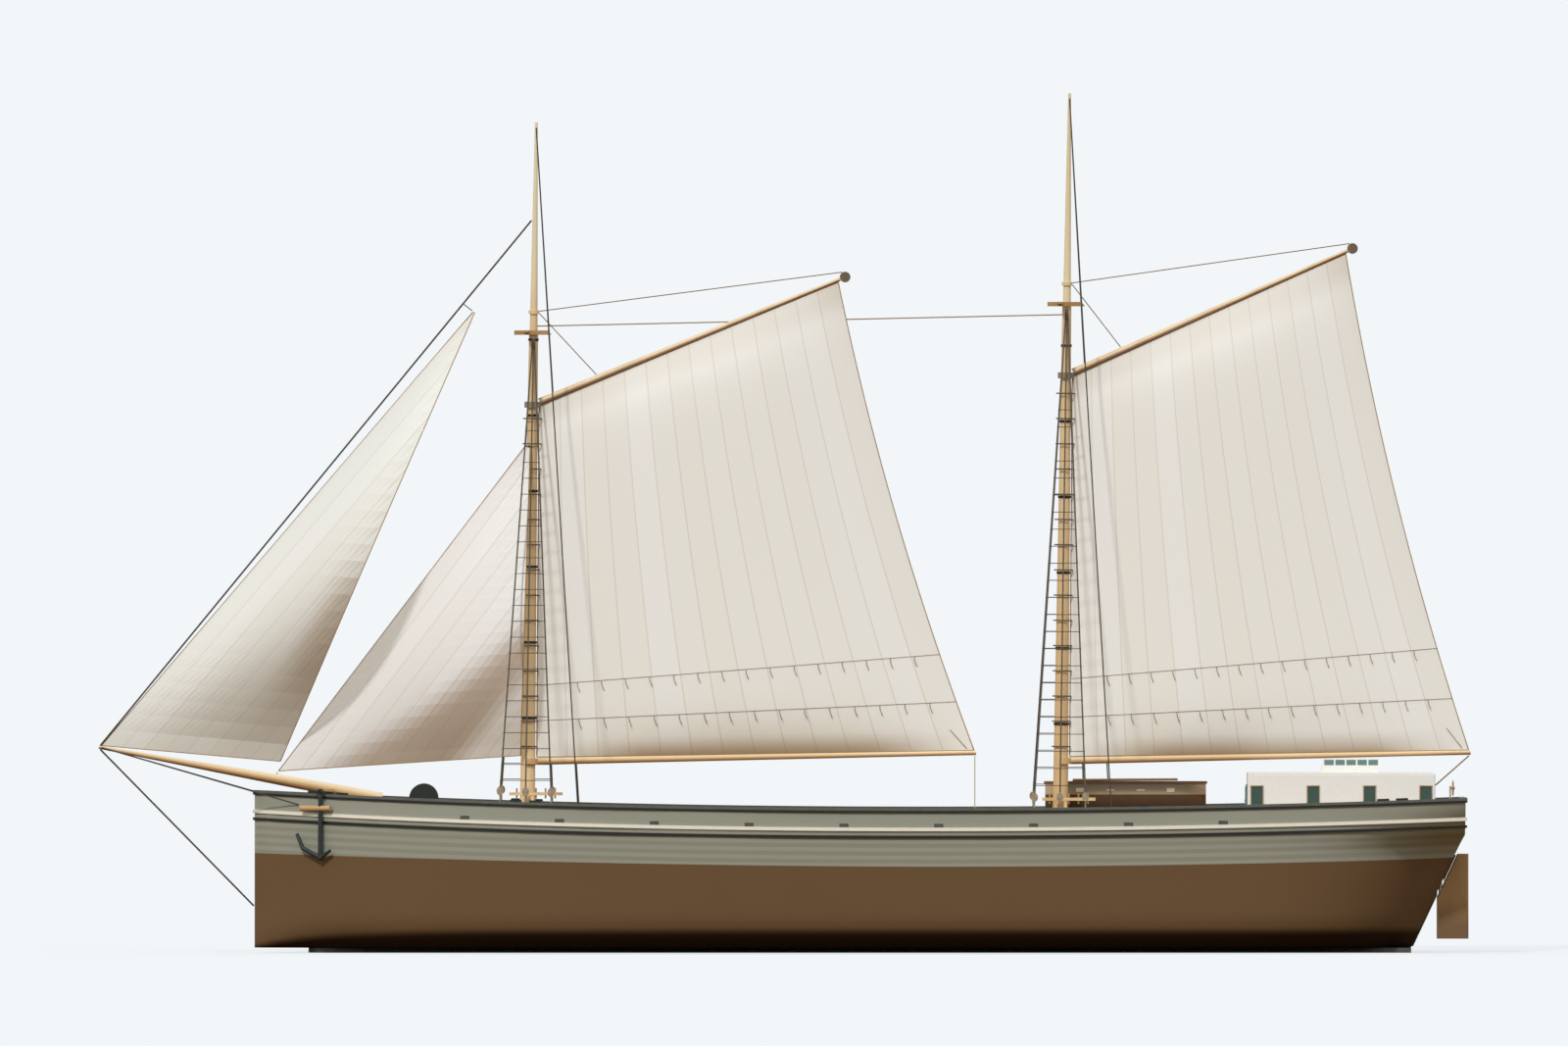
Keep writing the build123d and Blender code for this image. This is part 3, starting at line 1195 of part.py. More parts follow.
def make_cleats():
    pieces = []
    for side in SIDES:
        for x in CLEAT_XS:
            pieces.append(rail_bar(x, side, CLEAT_L, CLEAT_H, 1.6))
        rest = rail_bar(ANCHOR_X, side, CATHEAD_L, 2.2, 1.6)
        origin, _ = anchor_frame(side)
        near = side * (half_breadth(ANCHOR_X, sheer_z(ANCHOR_X)) - 1.6)
        arm_z = sheer_z(ANCHOR_X) + 1.2
        reach = rod((ANCHOR_X, near, arm_z), (ANCHOR_X, origin.Y + side * 1.0, arm_z), 0.75)
        pieces.append(rest + reach)
    return pieces


def make_wheel():
    """The steering wheel with its spokes and hub, facing aft."""
    origin = (WHEEL_X, 0, WHEEL_Z)
    wheel = Solid.make_torus(WHEEL_R, 0.7, Plane(origin=origin, z_dir=(1, 0, 0)))
    wheel = wheel + rod((WHEEL_X - 0.9, 0, WHEEL_Z), (WHEEL_X + 1.1, 0, WHEEL_Z), 1.5)
    for i in range(WHEEL_SPOKES):
        turn = 2 * math.pi * i / WHEEL_SPOKES
        tip = (WHEEL_X, WHEEL_TIP_R * math.sin(turn), WHEEL_Z + WHEEL_TIP_R * math.cos(turn))
        wheel = wheel + rod(origin, tip, 0.45)
    return wheel - rod((WHEEL_X - 3, 0, WHEEL_Z), (WHEEL_X + 3, 0, WHEEL_Z), 0.7 + RUN_FIT)


def make_wheel_post():
    x = WHEEL_X - 2.2
    post = block((x - 0.7, x + 0.7), (-2.6, 2.6), (90, WHEEL_Z + 1.8))
    axle = rod((x, 0, WHEEL_Z), (WHEEL_X + 1.6, 0, WHEEL_Z), 0.7)
    return post + axle - under_deck()


def make_fife_rails():
    rails, pins = [], []
    for base in (FORE_X, MAIN_X):
        middle = base + FIFE_SHIFT
        top = sheer_z(base) + FIFE_UP + 1.5
        span = (middle - FIFE_HALF_L, middle + FIFE_HALF_L)
        z = (top - FIFE_H, top)
        frame = block((span[0], span[0] + 3.4), (-FIFE_Y - 1.7, FIFE_Y + 1.7), z)
        for side in SIDES:
            y = sorted((side * (FIFE_Y - 1.7), side * (FIFE_Y + 1.7)))
            frame = frame + block(span, y, z)
            for x in (base - FIFE_LEG, base + FIFE_LEG):
                leg_y = sorted((side * (FIFE_Y - 1.2), side * (FIFE_Y + 1.2)))
                frame = frame + block((x - 1.2, x + 1.2), leg_y, (90, top - FIFE_H))
            for i in range(PIN_COUNT):
                x = middle + (i - (PIN_COUNT - 1) / 2) * PIN_PITCH
                pin = rod((x, side * FIFE_Y, top - 5.0), (x, side * FIFE_Y, top + 3.4), 0.65)
                frame = frame - pin
                pins.append(pin)
        rails.append(frame - under_deck())
    return rails, pins


# ================================================================ assembly
def build():
    shell, deck = make_hull()
    anchors, stocks = make_anchors()
    fife_rails, pins = make_fife_rails()
    nodes = {
        "hull_shell": [shell], "deck": [deck], "freeing_ports": make_port_lids(),
        "cap_rail": make_cap_rail(), "black_mouldings": make_black_mouldings(),
        "rub_rails": make_rub_rails(), "keel_plate": [make_keel_plate()] + make_post_strip(),
        "ballast_bars": make_ballast(), "internal_frames": make_frames(),
        "stern_tube": [make_stern_tube()],
        "rudder_blade": [make_rudder_blade()], "rudder_stock": [make_rudder_stock()],
        "tiller_arm": [arm(STOCK_X, STOCK_R)], "servo_arm": [arm(SERVO_X, 2.4)],
        "steering_pushrod": [make_pushrod()], "rudder_servo": [make_servo()],
        "sail_winch": [make_winch()], "winch_drum": [make_drum()],
        "battery_pack": [make_battery()], "receiver": [make_receiver()],
        "hatch_coaming": [make_coaming()], "hatch_lid": [make_lid()],
        "aft_deckhouse": [make_deckhouse()], "deckhouse_roof": [make_roof()],
        "window_frames": make_window_frames(), "window_panes": make_panes(),
        "companion_door": make_door(), "skylight": [make_skylight()],
        "ships_boat": [make_boat()], "boat_fittings": make_boat_fittings(),
        "windlass_barrel": [make_windlass()], "windlass_bitts": make_bitts(),
        "anchors": anchors, "anchor_stocks": stocks, "mooring_chocks": make_cleats(),
        "steering_wheel": [make_wheel()], "wheel_post": [make_wheel_post()],
        "fife_rails": fife_rails, "belaying_pins": pins,
        "bowsprit": make_bowsprit(),
        "fore_mast": [make_mast(FORE_X, FORE_HOUND_Z, FORE_TOP_Z)],
        "main_mast": [make_mast(MAIN_X, MAIN_HOUND_Z, MAIN_TOP_Z)],
        "crosstrees": make_crosstrees(), "mast_bands": make_mast_bands(),
        "shrouds": make_shrouds(), "deadeyes": make_deadeyes(), "stays": make_stays(),
        "boom_sheets": make_sheets(),
    }
    rigs = (
        ("fore", FORE_X, (FORE_BOOM_Z, FORE_BOOM_END_X), (FORE_GAFF_Z, FORE_GAFF_END_X),
         (FORE_HOUND_Z, FORE_TOP_Z), (FORE_SWIVEL_Z, FORE_SPAN_X), FORE_HOOPS),
        ("main", MAIN_X, (MAIN_BOOM_Z, MAIN_BOOM_END_X), (MAIN_GAFF_Z, MAIN_GAFF_END_X),
         (MAIN_HOUND_Z, MAIN_TOP_Z), (MAIN_SWIVEL_Z, MAIN_SPAN_X), MAIN_HOOPS),
    )
    for name, base, boom_at, gaff_at, mast, halyard, hoops in rigs:
        boom = Spar(base, *boom_at, (BOOM_R, BOOM_END_R), *mast)
        gaff = Spar(base, *gaff_at, (GAFF_R, GAFF_END_R), *mast)
        nodes[name + "_boom"] = [boom.solid(open_jaw=True)]
        nodes[name + "_gaff"] = [gaff.solid()]
        nodes[name + "sail"] = [gaff_sail(*sail_corners(boom, gaff))]
        nodes[name + "_hoops"] = make_hoops(base, hoops)
        nodes[name + "_halyards"] = make_halyards(gaff, *halyard)
    nodes["jib"] = [headsail(Vector(JIB_TACK[0], 0, JIB_TACK[1]), Vector(JIB_CLEW[0], 0, JIB_CLEW[1]),
                             Vector(JIB_HEAD[0], 0, JIB_HEAD[1]), JIB_HEAD_W, JIB_BELLY)]
    nodes["staysail"] = [headsail(Vector(STAYSAIL_TACK[0], 0, STAYSAIL_TACK[1]),
                                  Vector(STAYSAIL_CLEW[0], STAYSAIL_CLEW_Y, STAYSAIL_CLEW[1]),
                                  Vector(STAYSAIL_HEAD[0], STAYSAIL_HEAD_Y, STAYSAIL_HEAD[1]),
                                  STAYSAIL_HEAD_W, STAYSAIL_BELLY)]
    return nodes


def solids_of(shapes):
    """Every solid in a list of shapes."""
    found = []
    for shape in shapes:
        found += shape.solids()
    return found


os.makedirs("parts", exist_ok=True)
for node, shapes in build().items():
    export_step(Compound(children=solids_of(shapes)), "parts/" + node + ".step")
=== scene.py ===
"""Radio controlled two-masted gaff schooner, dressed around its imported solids.

Bow towards -X, port side towards -Y, +Z up.  Metres.
"""
import math

import bpy
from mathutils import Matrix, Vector


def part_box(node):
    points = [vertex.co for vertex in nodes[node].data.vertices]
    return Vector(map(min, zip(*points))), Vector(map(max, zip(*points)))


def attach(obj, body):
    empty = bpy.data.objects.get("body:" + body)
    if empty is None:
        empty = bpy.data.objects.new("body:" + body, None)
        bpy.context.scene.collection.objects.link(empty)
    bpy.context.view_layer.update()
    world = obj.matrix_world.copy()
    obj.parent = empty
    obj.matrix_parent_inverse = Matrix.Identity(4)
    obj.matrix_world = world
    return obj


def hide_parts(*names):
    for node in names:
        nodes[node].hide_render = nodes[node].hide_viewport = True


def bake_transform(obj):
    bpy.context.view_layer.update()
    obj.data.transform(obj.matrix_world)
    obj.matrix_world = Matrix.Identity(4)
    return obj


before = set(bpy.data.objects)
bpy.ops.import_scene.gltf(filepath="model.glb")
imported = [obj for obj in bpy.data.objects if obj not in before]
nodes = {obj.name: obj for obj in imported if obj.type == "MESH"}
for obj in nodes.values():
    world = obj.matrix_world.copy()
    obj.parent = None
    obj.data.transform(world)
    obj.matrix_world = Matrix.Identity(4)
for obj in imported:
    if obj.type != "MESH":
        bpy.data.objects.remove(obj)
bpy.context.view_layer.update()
MM = 0.001


# ---------------------------------------------------------------- materials
def linear(code):
    """A linear colour from an sRGB hex value."""
    parts = [int(code[i:i + 2], 16) / 255 for i in (1, 3, 5)]
    return tuple(c / 12.92 if c <= 0.04045 else ((c + 0.055) / 1.055) ** 2.4 for c in parts) + (1.0,)


def add(tree, kind, inputs=(), **settings):
    """Adds a shader node; an input given a socket is linked to it."""
    made = tree.nodes.new("ShaderNode" + kind)
    for key, value in settings.items():
        setattr(made, key, value)
    for key, value in dict(inputs).items():
        if isinstance(value, bpy.types.NodeSocket):
            tree.links.new(value, made.inputs[key])
        else:
            made.inputs[key].default_value = value
    return made


class Finish:
    """A material with its shader, and sockets for the place on the piece."""

    def __init__(self, name, colour, rough, ior=1.5, metallic=0.0, **extra):
        self.material = bpy.data.materials.new(name)
        self.material.use_nodes = True
        self.tree = self.material.node_tree
        self.tree.nodes.clear()
        inputs = {"Base Color": linear(colour), "Roughness": rough, "IOR": ior, "Metallic": metallic}
        inputs.update(extra)
        self.shader = add(self.tree, "BsdfPrincipled", inputs)
        self.output = add(self.tree, "OutputMaterial", {"Surface": self.shader.outputs[0]})
        self.material.diffuse_color = linear(colour)
        self._axes = None

    def axes(self):
        """The X, Y and Z sockets of the place on the piece, in metres."""
        if self._axes is None:
            place = add(self.tree, "TexCoord")
            self._axes = add(self.tree, "SeparateXYZ", {0: place.outputs["Object"]}).outputs
        return self._axes

    def facing(self):
        """How much the surface faces up (1) or down (-1)."""
        normal = add(self.tree, "TexCoord").outputs["Normal"]
        return add(self.tree, "SeparateXYZ", {0: normal}).outputs[2]

    def math(self, operation, *values, clamp=False):
        """One sum; its result socket."""
        return add(self.tree, "Math", dict(enumerate(values)), operation=operation,
                   use_clamp=clamp).outputs[0]

    def step(self, value, low, high, out_low=0.0, out_high=1.0):
        """A smooth change of value between low and high."""
        inputs = {"Value": value, "From Min": low, "From Max": high,
                  "To Min": out_low, "To Max": out_high}
        return add(self.tree, "MapRange", inputs, interpolation_type="SMOOTHSTEP").outputs[0]

    def mix(self, share, first, second, blend="MIX"):
        """Two colours mixed; each is a hex value or a socket."""
        inputs = {0: share}
        for key, value in ((6, first), (7, second)):
            inputs[key] = linear(value) if isinstance(value, str) else value
        return add(self.tree, "Mix", inputs, data_type="RGBA", blend_type=blend).outputs[2]

    def grain(self, stretch, size_mm, detail=3.0):
        """Streaky noise: stretch is how many times longer a streak is along each axis."""
        place = add(self.tree, "TexCoord")
        scale = [1.0 / s for s in stretch]
        mapped = add(self.tree, "Mapping", {0: place.outputs["Object"], 3: scale})
        inputs = {"Vector": mapped.outputs[0], "Scale": 1.0 / (size_mm * MM), "Detail": detail}
        return add(self.tree, "TexNoise", inputs).outputs[0]

    def paint(self, colour):
        """Links a colour to the shader."""
        self.tree.links.new(colour, self.shader.inputs["Base Color"])

    def bump(self, height, distance_mm, strength=0.5):
        """Fine relief from a height value."""
        inputs = {"Height": height, "Distance": distance_mm * MM, "Strength": strength}
        made = add(self.tree, "Bump", inputs)
        self.tree.links.new(made.outputs[0], self.shader.inputs["Normal"])


def wood(name, light, dark, stretch, size_mm, rough=0.42):
    """Varnished or oiled timber: long grain streaks under a soft sheen."""
    finish = Finish(name, light, rough)
    streaks = finish.step(finish.grain(stretch, size_mm), 0.35, 0.68)
    finish.paint(finish.mix(streaks, light, dark))
    return finish.material


def spar_wood(name, bleached, middle, under, stretch, size_mm):
    """A varnished spar with painted light and shade: lighter on top and darker underneath, by which way
    the surface faces.
    """
    finish = Finish(name, middle, 0.45)
    # Painted light and shade: the colour follows the surface normal, with the lit colour (bleached) on
    # top and the shaded colour (under) beneath.
    height = finish.facing()
    painted_light_round = finish.mix(finish.step(height, -0.95, 0.1), under, middle)
    painted_light_round = finish.mix(finish.step(height, 0.0, 0.9), painted_light_round, bleached)
    streaks = finish.step(finish.grain(stretch, size_mm), 0.35, 0.68)
    worn = finish.mix(1.0, painted_light_round, "#DCCFBE", "MULTIPLY")
    finish.paint(finish.mix(finish.math("MULTIPLY", streaks, 0.5), painted_light_round, worn))
    return finish.material


# The rail and the waterline are lowest at LOW_X and rise towards both ends: rise, length, power.
LOW_X = 121 * MM
SHEER_LOW = 119.6 * MM                 # height of the rail at its lowest
SHEER_BOW = (14.4 * MM, 558 * MM, 2.1)
SHEER_STERN = (8.3 * MM, 442 * MM, 2.0)
PAINT_LOW = 71.5 * MM                  # height of the waterline, where the two paints meet
PAINT_BOW = (10.5 * MM, 558 * MM, 1.65)
PAINT_STERN = (6.5 * MM, 421 * MM, 1.92)
PLANK_MM = 6.5                         # width of a hull plank
BILGE_BOW_X, BILGE_BOW_Z = -437 * MM, 4 * MM    # where the painted shade of the bilge starts at the bow
BILGE_RISE, BILGE_RUN = 13.8 * MM, 62 * MM      # how much higher it lies farther aft
STRIP_FROM_Z = 4.5 * MM                # the keel's iron ends and the sternpost's strip starts
DECK_PLANK = 5.8 * MM
COLLAR_LENGTH = 13.8 * MM              # iron collar at a gaff's inner end
SWIVEL_LENGTH = 8.6 * MM               # leather band round the mast, at a halyard's inner end
BLOCK_LENGTH = 6.2 * MM                # peak block, at a halyard's outer end
SEAM_SHARE = 0.05                      # seam width over strip width
WEAVE_SCALE = 900.0                    # threads of about 1 mm, coarser than real ones so that they show
LIGHT_THROUGH = 0.4                    # share of sunlight that passes through thin cotton
STRAKE_DEPTH = 9 * MM                  # height of the boat's tan top strake


def curved_line(finish, low, bow, stern):
    """Height of a line that rises towards both ends, as a socket."""
    x = finish.axes()[0]
    total = low
    for sign, (rise, length, power) in ((-1.0, bow), (1.0, stern)):
        away = finish.math("MULTIPLY", finish.math("SUBTRACT", x, LOW_X), sign / length)
        run = finish.math("MAXIMUM", away, 0.0)
        lift = finish.math("MULTIPLY", finish.math("POWER", run, power), rise)
        total = finish.math("ADD", total, lift)
    return total


def mast_wood():
    """Varnished pine masts, bleached pale yellow above the crosstrees."""
    finish = Finish("varnished pine mast", "#DDC095", 0.45)
    streaks = finish.step(finish.grain((1, 1, 16), 26.0), 0.35, 0.68)
    lower = finish.mix(streaks, "#DFC294", "#C9A570")
    upper = finish.mix(streaks, "#E6D7B3", "#DAC79B")
    finish.paint(finish.mix(finish.step(finish.axes()[2], 0.50, 0.56), lower, upper))
    return finish.material


def halyard_line(name, node):
    """Manila line; the swivel band is pine-coloured leather and the peak block stained elm."""
    finish = Finish(name, "#7F6439", 0.8)
    low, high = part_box(node)
    band = finish.math("LESS_THAN", finish.axes()[0], low.x + SWIVEL_LENGTH)
    block = finish.math("GREATER_THAN", finish.axes()[0], high.x - BLOCK_LENGTH)
    strands = finish.step(finish.grain((1, 1, 1), 3.0), 0.35, 0.7)
    line = finish.mix(strands, "#826639", "#6E552E")
    finish.paint(finish.mix(block, finish.mix(band, line, "#D9BF90"), "#675A4C"))
    return finish.material


def painted_planks():
    """Oil paint brushed on planking: grey above, brown below; painted shade marks the plank steps below
    the wale and darkens the bilge where it turns under towards the keel.
    """
    finish = Finish("brushed oil paint on planks", "#8B8C7E", 0.55, **{"Specular IOR Level": 0.15})
    x, y, z = finish.axes()
    below_rail = finish.math("SUBTRACT", curved_line(finish, SHEER_LOW, SHEER_BOW, SHEER_STERN), z)
    # Painted shade of the plank steps: below the wale the lower half of each plank is a little darker.
    plank = finish.math("FRACT", finish.math("DIVIDE", below_rail, PLANK_MM * MM))
    band = finish.step(plank, 0.42, 0.58)
    low_part = finish.step(below_rail, 0.024, 0.027)
    plank_step_shade = finish.math("MULTIPLY", band, low_part)
    topside = finish.mix(plank_step_shade, "#969788", "#8C8A79")
    cloudy = finish.step(finish.grain((8, 2, 1), 14.0, 2.0), 0.4, 0.7)
    topside = finish.mix(finish.math("MULTIPLY", cloudy, 0.25), topside, "#8F8F7F")
    # Painted shade: near-black where the bilge turns under, its edge lying higher farther aft.
    aft = finish.math("ADD", x, -BILGE_BOW_X)
    fade = finish.math("EXPONENT", finish.math("MULTIPLY", aft, -1 / BILGE_RUN))
    rise = finish.math("MULTIPLY", finish.math("SUBTRACT", 1.0, fade), BILGE_RISE)
    turn = finish.math("SUBTRACT", finish.math("SUBTRACT", z, BILGE_BOW_Z), rise)
    bottom_paint_and_bilge_shade = finish.mix(finish.step(turn, -0.003, 0.005), "#2A1B10", "#6A5136")
    above = finish.math("SUBTRACT", z, curved_line(finish, PAINT_LOW, PAINT_BOW, PAINT_STERN))
    finish.paint(finish.mix(finish.step(above, -0.0002, 0.0002), bottom_paint_and_bilge_shade, topside))
    return finish.material


def keel_paint():
    """Grey painted iron keel; the strip up the sternpost is dark brown, as painted shade along the
    hull's stern edge.
    """
    finish = Finish("painted cast iron", "#4A4A45", 0.6)
    cloudy = finish.step(finish.grain((1, 1, 1), 6.0), 0.35, 0.7)
    iron = finish.mix(cloudy, "#50504B", "#42423D")
    # Painted shade: the sternpost strip is dark brown to match the shaded stern edge of the hull.
    strip = finish.math("GREATER_THAN", finish.axes()[2], STRIP_FROM_Z)
    finish.paint(finish.mix(strip, iron, "#4A341E"))
    return finish.material


def rudder_wood():
    """Oiled oak rudder, its grain upright, with painted light: lighter above, where the counter's shadow
    falls on it, and darker below, where the sun reaches it.
    """
    finish = Finish("oiled oak rudder", "#A27C48", 0.55)
    streaks = finish.step(finish.grain((1, 1, 10), 14.0), 0.35, 0.68)
    # Painted light: the upper rudder is lightened and the lower rudder darkened, evening out the shadow
    # of the counter.
    oak_lifted_in_counter_shadow = finish.mix(streaks, "#AD8650", "#A27C48")
    deep = finish.mix(finish.step(finish.axes()[2], 0.020, 0.050), "#765735", oak_lifted_in_counter_shadow)
    finish.paint(deep)
    return finish.material


def planked_deck():
    """Scrubbed pine deck: narrow planks with dark caulking between them."""
    finish = Finish("scrubbed pine deck", "#C8A978", 0.6)
    y = finish.axes()[1]
    across = finish.math("FRACT", finish.math("DIVIDE", finish.math("ADD", y, 1.0), DECK_PLANK))
    seam = finish.math("LESS_THAN", across, 0.11)
    streaks = finish.step(finish.grain((30, 1, 1), 2.2), 0.35, 0.7)
    finish.paint(finish.mix(seam, finish.mix(streaks, "#CBAD7D", "#B39162"), "#4A3B28"))
    return finish.material


def sail_cloth(name, first, second, seam_colour):
    """Woven cotton: pale and matt, sewn from strips, with a faint weave, darker seams and painted shade
    in warm brown where its shade number says.
    """
    finish = Finish(name, first, 0.85, 1.46, **{"Sheen Weight": 0.08})
    panel = add(finish.tree, "Attribute", attribute_name="panel").outputs["Fac"]
    shade = add(finish.tree, "Attribute", attribute_name="shade").outputs["Fac"]
    reef = add(finish.tree, "Attribute", attribute_name="reef").outputs["Fac"]
    number = finish.math("FLOOR", panel)
    tint = add(finish.tree, "TexWhiteNoise", {"W": number}, noise_dimensions="1D").outputs["Value"]
    cloth = finish.mix(tint, first, second)
    in_panel = finish.math("FRACT", panel)
    seam = finish.math("LESS_THAN", in_panel, SEAM_SHARE)
    cloth = finish.mix(finish.math("MULTIPLY", seam, 0.32), cloth, seam_colour)
    cloth = finish.mix(finish.math("MULTIPLY", reef, 0.8), cloth, "#A9987C")
    # Painted shade: the cloth turns warm brown by the shade number of each point or face.
    finish.paint(finish.mix(shade, cloth, "#9C7C52"))
    place = add(finish.tree, "TexCoord").outputs["Object"]
    weave = add(finish.tree, "TexNoise", {"Vector": place, "Scale": WEAVE_SCALE, "Detail": 1.0})
    finish.bump(weave.outputs[0], 0.05, 0.15)
    path = add(finish.tree, "LightPath").outputs["Is Shadow Ray"]
    through = add(finish.tree, "BsdfTransparent", {"Color": linear("#FFF8EA")})
    share = finish.math("MULTIPLY", path, LIGHT_THROUGH)
    mixed = add(finish.tree, "MixShader", {0: share, 1: finish.shader.outputs[0], 2: through.outputs[0]})
    finish.tree.links.new(mixed.outputs[0], finish.output.inputs["Surface"])
    return finish.material


def plain(name, colour, rough, ior=1.5, metallic=0.0, wear=0.12, size_mm=5.0, relief=0.3, **extra):
    """A finish that varies a little in depth, as brushed paint, cast metal or line does."""
    finish = Finish(name, colour, rough, ior, metallic, **extra)
    cloudy = finish.step(finish.grain((1, 1, 1), size_mm), 0.35, 0.7)
    shaded = finish.mix(1.0, colour, "#D5D2CC", "MULTIPLY")
    finish.paint(finish.mix(finish.math("MULTIPLY", cloudy, wear * 4), colour, shaded))
    finish.bump(cloudy, 0.04, relief)
    return finish.material


def boat_paint():
    """Brushed paint on the ship's boat: a tan top strake with a painted highlight where its ends curve
    round, over dark brown.
    """
    finish = Finish("brushed paint on the boat", "#8B7A60", 0.5)
    x, y, z = finish.axes()
    low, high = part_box("ships_boat")
    middle = (low.x + high.x) / 2
    below = finish.math("SUBTRACT", high.z, z)
    from_middle = finish.math("ABSOLUTE", finish.math("SUBTRACT", x, middle))
    out = finish.math("DIVIDE", from_middle, high.x - middle)
    strake = finish.mix(finish.step(below, 1 * MM, STRAKE_DEPTH), "#82755F", "#9C8B70")
    # Painted highlight: the strake turns paler towards both ends, where the boat's sides curve round.
    strake = finish.mix(finish.step(out, 0.75, 1.0), strake, "#B69C82")
    lower = finish.mix(finish.step(below, STRAKE_DEPTH, 26 * MM), "#51361D", "#261B11")
    finish.paint(finish.mix(finish.step(below, 0.0086, 0.0090), strake, lower))
    return finish.material


def boat_timber():
    """The boat's oiled gunwale and chocks, its pale fender pads and its bare ash oars."""
    finish = Finish("oiled and painted boat timber", "#6B4A2A", 0.5)
    x, y, z = finish.axes()
    low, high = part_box("ships_boat")
    middle, half = (low.y + high.y) / 2, (high.y - low.y) / 2
    from_middle = finish.math("ABSOLUTE", finish.math("SUBTRACT", y, middle))
    side = finish.math("GREATER_THAN", from_middle, half * 0.92)
    pad = finish.math("MULTIPLY", side, finish.math("LESS_THAN", z, high.z - 0.002))
    oar = finish.math("GREATER_THAN", z, high.z + 0.00202)
    oiled = finish.mix(finish.grain((20, 1, 1), 5.0), "#745131", "#5E3F22")
    finish.paint(finish.mix(oar, finish.mix(pad, oiled, "#DCD0B4"), "#A58A62"))
    return finish.material


def stay_rope():
    """Tarred line, apart from the pale manila stay between the mastheads."""
    finish = Finish("tarred hemp line", "#3E362B", 0.75)
    x, y, z = finish.axes()
    low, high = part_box("crosstrees")
    inside = finish.math("MULTIPLY", finish.math("GREATER_THAN", x, low.x + 0.01),
                         finish.math("LESS_THAN", x, high.x - 0.018))
    level = finish.math("MULTIPLY", finish.math("GREATER_THAN", z, low.z + 0.006),
                        finish.math("LESS_THAN", z, high.z - 0.006))
    near = finish.math("LESS_THAN", finish.math("ABSOLUTE", y), 0.0062)
    mask = finish.math("MULTIPLY", finish.math("MULTIPLY", inside, level), near)
    finish.paint(finish.mix(mask, "#3E362B", "#94773F"))
    return finish.material


def tinted_glass():
    """Tinted glass: deep green in the house windows, paler blue-green in the skylight."""
    finish = Finish("tinted glass", "#3A544C", 0.12)
    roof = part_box("deckhouse_roof")[1].z
    above = finish.math("GREATER_THAN", finish.axes()[2], roof)
    finish.paint(finish.mix(above, "#3A544C", "#64807A"))
    return finish.material


def gaff_wood(name, node):
    """Varnished pine with painted light and shade, lighter on top and darker underneath, and an iron
    collar where the spar turns on its mast.
    """
    finish = Finish(name, "#CFAB78", 0.45)
    collar = finish.math("LESS_THAN", finish.axes()[0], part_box(node)[0].x + COLLAR_LENGTH)
    # Painted light and shade: the colour follows the surface normal, pale where the gaff faces up and
    # dark brown where it faces down.
    height = finish.facing()
    timber = finish.mix(finish.step(height, -0.8, 0.5), "#80562B", "#E0C7A0")
    streaks = finish.step(finish.grain((1, 14, 14), 24.0), 0.35, 0.68)
    worn = finish.mix(1.0, timber, "#DCCFBE", "MULTIPLY")
    timber = finish.mix(finish.math("MULTIPLY", streaks, 0.5), timber, worn)
    finish.paint(finish.mix(collar, timber, "#857A63"))
    return finish.material


topsides = painted_planks()
deck_wood = planked_deck()
# Satin enamel brushed on wood: smooth, with a low sheen.
rail_grey = plain("satin grey enamel", "#5A5E56", 0.45)
# Dark grey lids fill the freeing ports, standing in for the shade inside open ports.
port_lid_grey_as_shade = plain("dark grey enamel", "#494A43", 0.5)
# The black strip under the cap rail stands in for the rail's shadow on the topsides; the wale is a real
# black bead.
black_bead_and_rail_shadow = plain("satin black enamel", "#15170F", 0.4)
strake_cream = plain("satin cream enamel", "#E9E2D0", 0.45, wear=0.03, relief=0.05)
house_white = plain("satin white enamel", "#E9E6DE", 0.5, wear=0.02, relief=0.02)
door_green = plain("satin green enamel", "#5E8480", 0.45)
# Cast iron, painted or blackened: dark and a little rough.
keel_iron = keel_paint()
ballast_iron = plain("raw cast iron", "#4A4A48", 0.65, metallic=0.6)
black_iron = plain("blackened cast iron", "#2C3432", 0.5, metallic=0.25)
windlass_iron = plain("green-black enamelled iron", "#151C14", 0.55)
band_iron = plain("blackened steel band", "#262620", 0.45, metallic=0.3)
bright_steel = plain("bright drawn steel", "#A9AAA8", 0.25, metallic=1.0)
tube_brass = plain("turned brass", "#B08D4B", 0.3, metallic=1.0)
# Moulded plastics of the working gear.
nylon_black = plain("moulded black nylon", "#1D1D1D", 0.5)
abs_black = plain("moulded ABS", "#1B1B1D", 0.3)
shrink_wrap = plain("PVC shrink wrap", "#2F5D8C", 0.25)
# Timber.
mast_pine = mast_wood()
# Bowsprit and booms: painted highlight on top, painted shade underneath.
boom_pine = spar_wood("varnished pine spar", "#EBD9B4", "#D6B07B", "#8A6238", (16, 1, 1), 26.0)
rudder_oak = rudder_wood()
stock_ash = wood("oiled ash", "#CFAE7E", "#C09A66", (8, 8, 1), 12.0, 0.5)
tree_oak = wood("oiled oak", "#B38D57", "#9D7745", (8, 8, 1), 12.0, 0.5)
plywood = wood("birch plywood", "#CDAE80", "#BD9A68", (10, 10, 1), 10.0, 0.6)
eye_wood = wood("lignum deadeye", "#A3937C", "#8C7A60", (1, 1, 1), 3.0, 0.5)
hoop_ash = plain("steamed ash hoop", "#57503F", 0.6)
window_wood = plain("varnished beech", "#B8A080", 0.4)
window_glass = tinted_glass()
shroud_rope = plain("tarred hemp shroud", "#5A5244", 0.8)
stay_line = stay_rope()
sheet_line = plain("laid hemp line", "#86693F", 0.8)
pale_line = plain("laid cotton line", "#BBAA7E", 0.8)
bolt_rope = plain("sewn bolt rope", "#A07D48", 0.8)


